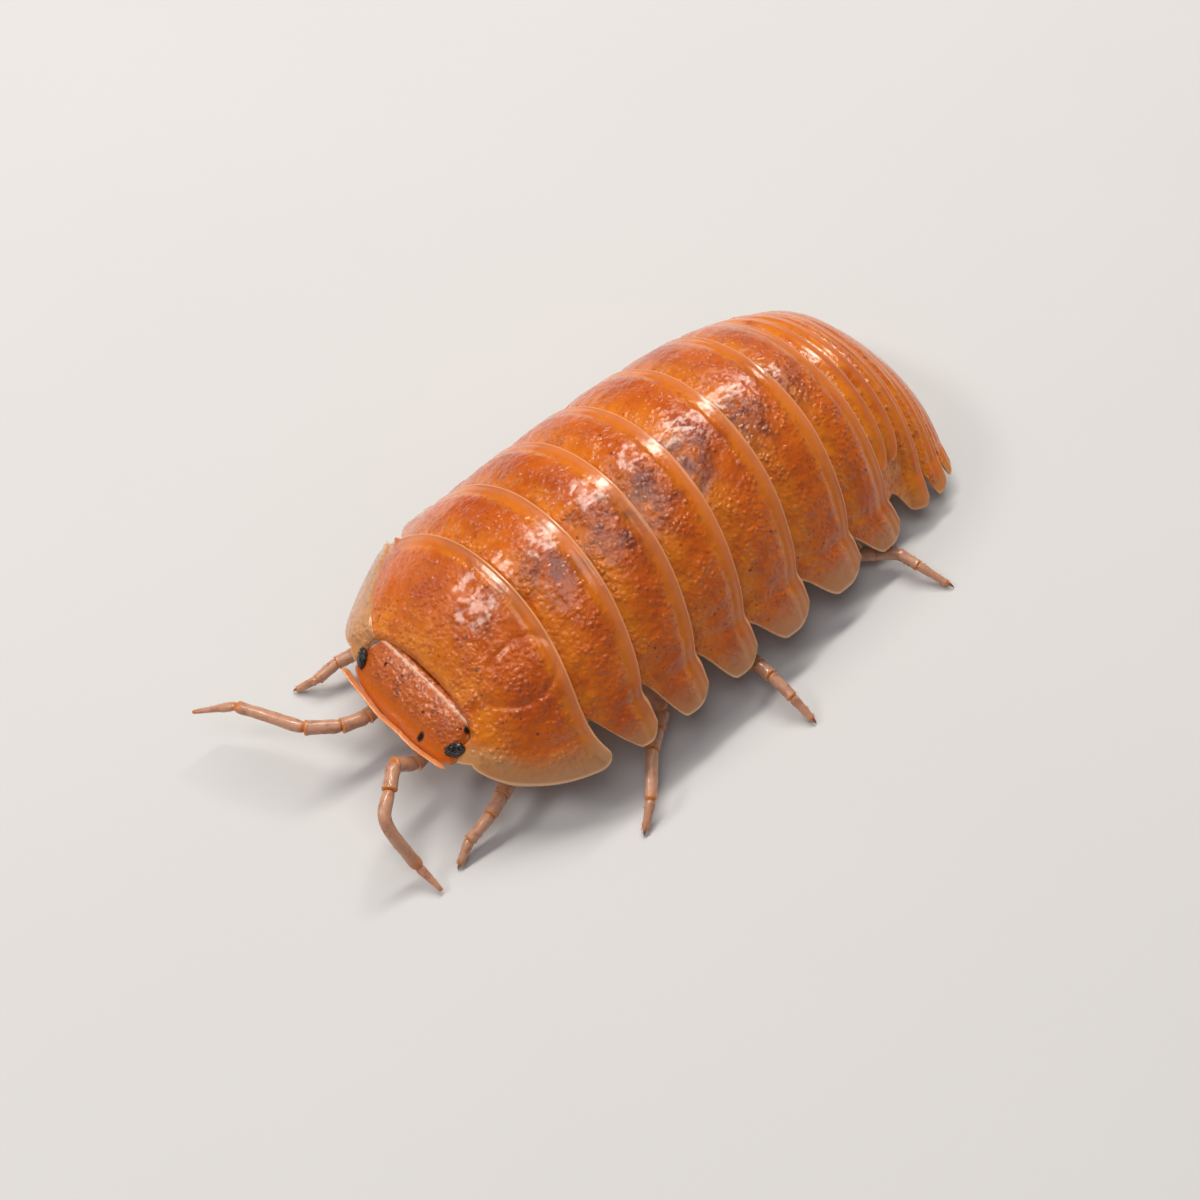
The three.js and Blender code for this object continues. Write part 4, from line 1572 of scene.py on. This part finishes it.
@dataclass
class Limb:
    """A jointed limb along a path of joints, with spines along its articles.

    Each of its articles runs through the joints from one stop to the next, so it may be bent.
    """

    name: str
    joints: Array
    radii: tuple[float, ...]
    stops: tuple[int, ...]
    spine_length: float = 0.12
    spines_each: int = 8
    spine_width: float = 0.011
    rim_spines: int = 6
    bare: int = 1

    def sheet(self) -> Sheet:
        """Joins the articles and their spines.

        Returns:
            The limb as one sheet.
        """
        joints = self.joints.copy()
        joints[:-1, 2] = np.maximum(joints[:-1, 2], np.array(self.radii[: len(joints) - 1]) + 0.04)
        whole = None
        for number, (low, high) in enumerate(zip(self.stops, self.stops[1:])):
            path = joints[low : high + 1].copy()
            path[0] -= 0.04 * unit(path[1] - path[0])
            path[-1] += 0.03 * unit(path[-1] - path[-2])
            part = article(path, self.radii[low], self.radii[high])
            if number >= self.bare:
                part = part.joined(self.bristles(path, self.radii[low], self.radii[high], number))
            whole = part if whole is None else whole.joined(part)
        return whole

    def bristles(self, path: Array, first: float, last: float, seed: int) -> Sheet:
        """Spines that lean towards the far end, scattered over the article and set round its rim.

        Args:
            path: The article's middle line in mm.
            first: Its radius at the near end in mm.
            last: Its radius at the far end in mm.
            seed: Picks the pattern.

        Returns:
            The spines as one sheet.
        """
        random = np.random.default_rng(100 + seed + int(abs(path[0, 0]) * 50))
        share = np.concatenate([random.uniform(0.15, 0.88, self.spines_each), np.full(self.rim_spines, 0.95)])
        ring = np.linspace(0, 5.2, self.rim_spines) + seed
        turn = np.concatenate([random.uniform(0, 2 * np.pi, self.spines_each), ring])
        axis = unit(path[-1] - path[0])
        level, upright = square_frame(axis)
        out = np.cos(turn)[:, None] * level + np.sin(turn)[:, None] * upright * 0.88
        radius = blend(first, last, share)[:, None]
        roots = spline(path, share * (len(path) - 1)) + out * radius * 0.9
        length = self.spine_length * random.uniform(0.6, 1.0, len(share))[:, None]
        tips = roots + unit(out + axis * 1.3) * length
        tips[:, 2] = np.maximum(tips[:, 2], 0.02)
        return spines(roots, tips, self.spine_width)

    def build(self, finishes: Finishes) -> None:
        """Makes the limb, which stands for the CAD node of its name."""
        self.sheet().piece(f"limb_{self.name}", finishes.limb, Slot.LIMB, (self.name,))


def claw_sheet(root: Array, tip: Array, width: float) -> Sheet:
    """A bent claw: an oval section carried along a quarter bow from root to tip, shrinking as (1 - share)^0.8.

    Args:
        root: Where the claw leaves the limb, in mm.
        tip: Its point in mm.
        width: Half the width at the root in mm.

    Returns:
        The closed claw.
    """
    share = np.linspace(0.0, 1.0, 18)[:, None]
    bow = 0.18 * np.linalg.norm(tip - root) * np.sin(np.pi * share)
    axis = unit(tip - root)
    level, upright = square_frame(axis)
    centre = root + (tip - root) * share + upright * bow
    radius = (width * np.maximum(1.0 - share, 0.02) ** 0.8)[:, :, None]
    turn = turns(12)[None, :, None]
    points = centre[:, None, :] + radius * (np.cos(turn) * level + np.sin(turn) * upright)
    return loft_sheet(points, {"joint": np.broadcast_to(share, points.shape[:2])})


@dataclass
class Legs:
    """The fourteen legs in their walking pose, from below the flank out to the foot."""

    radii: tuple[float, ...] = (0.32, 0.26, 0.23, 0.2, 0.17, 0.1)
    flank: float = 0.86
    flank_depth: float = 0.45
    root_across: float = 0.55
    lift: float = 0.03
    claw_width: float = 0.07
    left: tuple[tuple[tuple[float, float, float], ...], ...] = (
        ((3.0, -8.35, 1.0), (3.4, -9.45, 0.85), (3.43, -10.28, 0.52), (3.67, -10.98, 0)),
        ((3.1, -6.5, 1.0), (3.45, -6.5, 0.85), (3.6, -6.45, 0.5), (3.75, -6.4, 0)),
        ((4.35, -3.95, 0.95), (5.05, -4.98, 1.02), (6.0, -5.94, 0.6), (6.46, -6.66, 0)),
        ((3.45, -2.5, 0.9), (3.9, -2.7, 0.75), (4.1, -2.8, 0.45), (4.22, -2.88, 0)),
        ((4.6, -0.9, 0.75), (5.6, -0.9, 0.82), (6.42, -0.87, 0.58), (7.3, -0.77, 0)),
        ((3.4, 1.7, 0.8), (3.8, 1.85, 0.68), (3.98, 1.95, 0.42), (4.1, 2.05, 0)),
        ((4.35, 3.95, 0.58), (5.15, 4.85, 0.55), (5.85, 4.98, 0.5), (6.95, 5.4, 0)),
    )
    right: tuple[tuple[tuple[float, float, float], ...], ...] = (
        ((-3.0, -8.4, 1.0), (-3.35, -9.5, 0.85), (-3.52, -10.15, 0.5), (-3.96, -10.84, 0)),
        ((-3.7, -6.0, 1.0), (-4.4, -5.75, 0.85), (-4.85, -5.6, 0.5), (-5.15, -5.45, 0)),
        ((-3.6, -4.7, 0.95), (-4.2, -5.0, 0.8), (-4.6, -5.15, 0.45), (-4.9, -5.3, 0)),
        ((-3.7, -1.9, 0.9), (-4.4, -1.6, 0.75), (-4.85, -1.4, 0.45), (-5.2, -1.2, 0)),
        ((-3.6, 0.1, 0.85), (-4.2, 0.35, 0.7), (-4.6, 0.5, 0.42), (-4.9, 0.6, 0)),
        ((-3.6, 1.6, 0.8), (-4.2, 1.75, 0.68), (-4.6, 1.85, 0.42), (-4.95, 1.95, 0)),
        ((-3.6, 4.2, 0.7), (-4.2, 4.7, 0.6), (-4.6, 5.0, 0.42), (-4.95, 5.3, 0)),
    )

    def root(self, number: int, sign: float) -> Array:
        """Where a leg leaves the belly, just inside the skin under its own plate.

        Args:
            number: The leg's number, 1 in front.
            sign: The side's sign in x.

        Returns:
            The root in mm.
        """
        place = np.array(number - 1 + (0.5 if number == 1 else 0.3))
        corner = ARCH.under(place, self.flank, self.flank_depth)
        share = self.root_across / self.flank
        return np.array([sign * corner[0] * share, corner[1], corner[2] - 0.18 * (1 - share**2) + 0.1])

    def build(self, finishes: Finishes) -> None:
        """Makes each leg and its claw."""
        for side, sign in SIDES.items():
            for number, stance in enumerate(getattr(self, side), 1):
                first, knee, shin, foot = np.array(stance)
                foot = foot + np.array([0.0, 0.0, self.lift])
                ankle = blend(shin, foot, 0.8)
                path = np.array([self.root(number, sign), first, blend(first, knee, 0.45), knee, shin, ankle])
                name = f"leg_{side}_{number}"
                Limb(name, path, self.radii, (0, 1, 2, 3, 4, 5)).build(finishes)
                claw = claw_sheet(blend(shin, foot, 0.76), foot, self.claw_width)
                claw.piece(f"claw_{side}_{number}", finishes.claw, Slot.LIMB)


@dataclass
class Feelers:
    """The two antennae: short articles, a long bent one and a whip."""

    radii: tuple[float, ...] = (0.25, 0.24, 0.22, 0.21, 0.19, 0.17, 0.05)
    stops: tuple[int, ...] = (0, 1, 2, 3, 5, 6)
    spine_length: float = 0.06
    spines_each: int = 16
    left: tuple[tuple[float, float, float], ...] = (
        (1.05, -9.7, 1.5),
        (1.1, -10.12, 1.55),
        (0.98, -10.68, 2.05),
        (1.5, -11.25, 2.05),
        (2.1, -11.88, 1.85),
        (3.1, -11.8, 0.5),
        (3.86, -11.72, 0.14),
    )
    right: tuple[tuple[float, float, float], ...] = (
        (-1.0, -9.7, 1.5),
        (-0.97, -10.15, 1.55),
        (-1.14, -10.9, 1.72),
        (-1.74, -11.7, 1.85),
        (-2.6, -12.13, 1.85),
        (-3.63, -12.65, 1.85),
        (-4.63, -13.55, 1.35),
    )

    def build(self, finishes: Finishes) -> None:
        """Makes both feelers."""
        for side in SIDES:
            path = np.array(getattr(self, side))
            limb = Limb(f"antenna_{side}", path, self.radii, self.stops, self.spine_length, self.spines_each)
            limb.build(finishes)


@dataclass
class GillPlates:
    """Five pairs of flat gill plates under the tail, which overlap like tiles."""

    pairs: int = 5
    places: tuple[float, float] = (8.35, 11.3)
    widths: tuple[float, float] = (0.95, 0.6)
    length: float = 0.5
    thickness: float = 0.13
    drop: float = 0.62
    lowest: float = 0.42
    tilt: float = -0.22

    def build(self, finishes: Finishes) -> None:
        """Makes all the plates as one piece of closed ovals, tilted down to the rear.

        Args:
            finishes: The materials of the pieces.
        """
        whole = None
        tilt = np.array(Matrix.Rotation(self.tilt, 3, "X"))
        for number in range(self.pairs):
            share = number / (self.pairs - 1)
            corner = ARCH.under(np.array(blend(*self.places, share)), 0.74, 0.75)
            wide = blend(*self.widths, share)
            for sign in SIDES.values():
                middle = np.array([sign * wide * 1.02, corner[1], max(corner[2] - self.drop, self.lowest)])
                oval = ellipsoid(np.zeros(3), np.array([wide, self.length, self.thickness]), 16, 24)
                oval = Sheet(oval.points @ tilt.T + middle, oval.faces, {})
                whole = oval if whole is None else whole.joined(oval)
        whole.piece("gill_plates", finishes.under, Slot.UNDER, ("pleopods",))


# ---------------------------------------------------------------- studio


@dataclass(frozen=True)
class Lamp:
    """An area light, in metres and watts, that looks at the animal's middle with its long side along the body."""

    name: str
    place: tuple[float, float, float]
    size: tuple[float, float]
    power: float
    tint: tuple[float, float, float] = (1.0, 0.98, 0.96)
    aim: tuple[float, float, float] = (0.0, 0.0, 0.003)

    def build(self) -> None:
        """Makes and turns the light."""
        data = bpy.data.lights.new(self.name, "AREA")
        data.shape = "RECTANGLE"
        data.size, data.size_y = self.size
        data.energy = self.power
        data.color = self.tint
        made = bpy.data.objects.new(self.name, data)
        back = unit(np.array(self.place) - np.array(self.aim))
        across = unit(np.cross([0.0, 1.0, 0.0], back))
        axes = np.stack([across, np.cross(back, across), back], axis=1)
        made.matrix_world = Matrix.Translation(Vector(self.place)) @ Matrix(axes.tolist()).to_4x4()
        bpy.context.scene.collection.objects.link(made)


@dataclass
class Studio:
    """Pale floor, soft lights, plain sky and the photograph's camera."""

    camera_place: tuple[float, float, float] = (23.283, -20.387, 45.69)
    right: tuple[float, float, float] = (0.674248, 0.736579, -0.053298)
    down: tuple[float, float, float] = (0.600977, -0.589199, -0.540066)
    forward: tuple[float, float, float] = (-0.429204, 0.332107, -0.839934)
    lens: float = 55.04
    floor_half: float = 0.4
    sky: tuple[float, float, float, float] = (0.94, 0.95, 0.97, 1.0)
    sky_strength: float = 0.2
    lamps: tuple[Lamp, ...] = (
        Lamp("strip", (-0.078, 0.055, 0.18), (0.024, 0.19), 0.36, (1.0, 0.94, 0.85)),
        Lamp("front", (-0.09, -0.12, 0.14), (0.04, 0.04), 0.1, (1.0, 0.94, 0.85)),
        Lamp("roof", (0.05, -0.1, 0.45), (0.22, 0.22), 0.36),
    )

    def camera(self) -> None:
        """Places the camera from its axes."""
        data = bpy.data.cameras.new("camera")
        data.sensor_fit = "HORIZONTAL"
        data.sensor_width = 36.0
        data.lens = self.lens
        data.clip_start = 0.001
        data.clip_end = 20.0
        made = bpy.data.objects.new("camera", data)
        axes = np.stack([self.right, -np.array(self.down), -np.array(self.forward)], axis=1)
        turn = Matrix(axes.tolist()).to_4x4()
        where = (np.array(self.camera_place) + np.array([SHIFT[0], SHIFT[1], 0.0])) * MM
        made.matrix_world = Matrix.Translation(Vector(where)) @ turn
        bpy.context.scene.collection.objects.link(made)
        bpy.context.scene.camera = made

    def build(self, finishes: Finishes) -> None:
        """Makes the floor, lights, sky and camera.

        Args:
            finishes: The materials of the pieces.
        """
        half = self.floor_half
        mesh = bpy.data.meshes.new("floor")
        mesh.from_pydata([(-half, -half, 0), (half, -half, 0), (half, half, 0), (-half, half, 0)], [], [(0, 1, 2, 3)])
        mesh.materials.append(finishes.floor)
        floor = bpy.data.objects.new("floor", mesh)
        bpy.context.scene.collection.objects.link(floor)
        for lamp in self.lamps:
            lamp.build()
        world = bpy.data.worlds.new("soft_sky")
        world.use_nodes = True
        background = world.node_tree.nodes["Background"].inputs
        background["Color"].default_value = self.sky
        background["Strength"].default_value = self.sky_strength
        bpy.context.scene.world = world
        bpy.context.scene.view_settings.view_transform = "Standard"
        self.camera()


def main() -> None:
    """Builds the animal and the studio."""
    logging.basicConfig(level=logging.INFO, format="%(name)s: %(message)s")
    finishes = Finishes()
    for part in (Armour(), Trunk(), Head(), Legs(), Feelers(), GillPlates(), Studio()):
        part.build(finishes)
    bpy.context.view_layer.update()


if __name__ == "__main__":
    main()
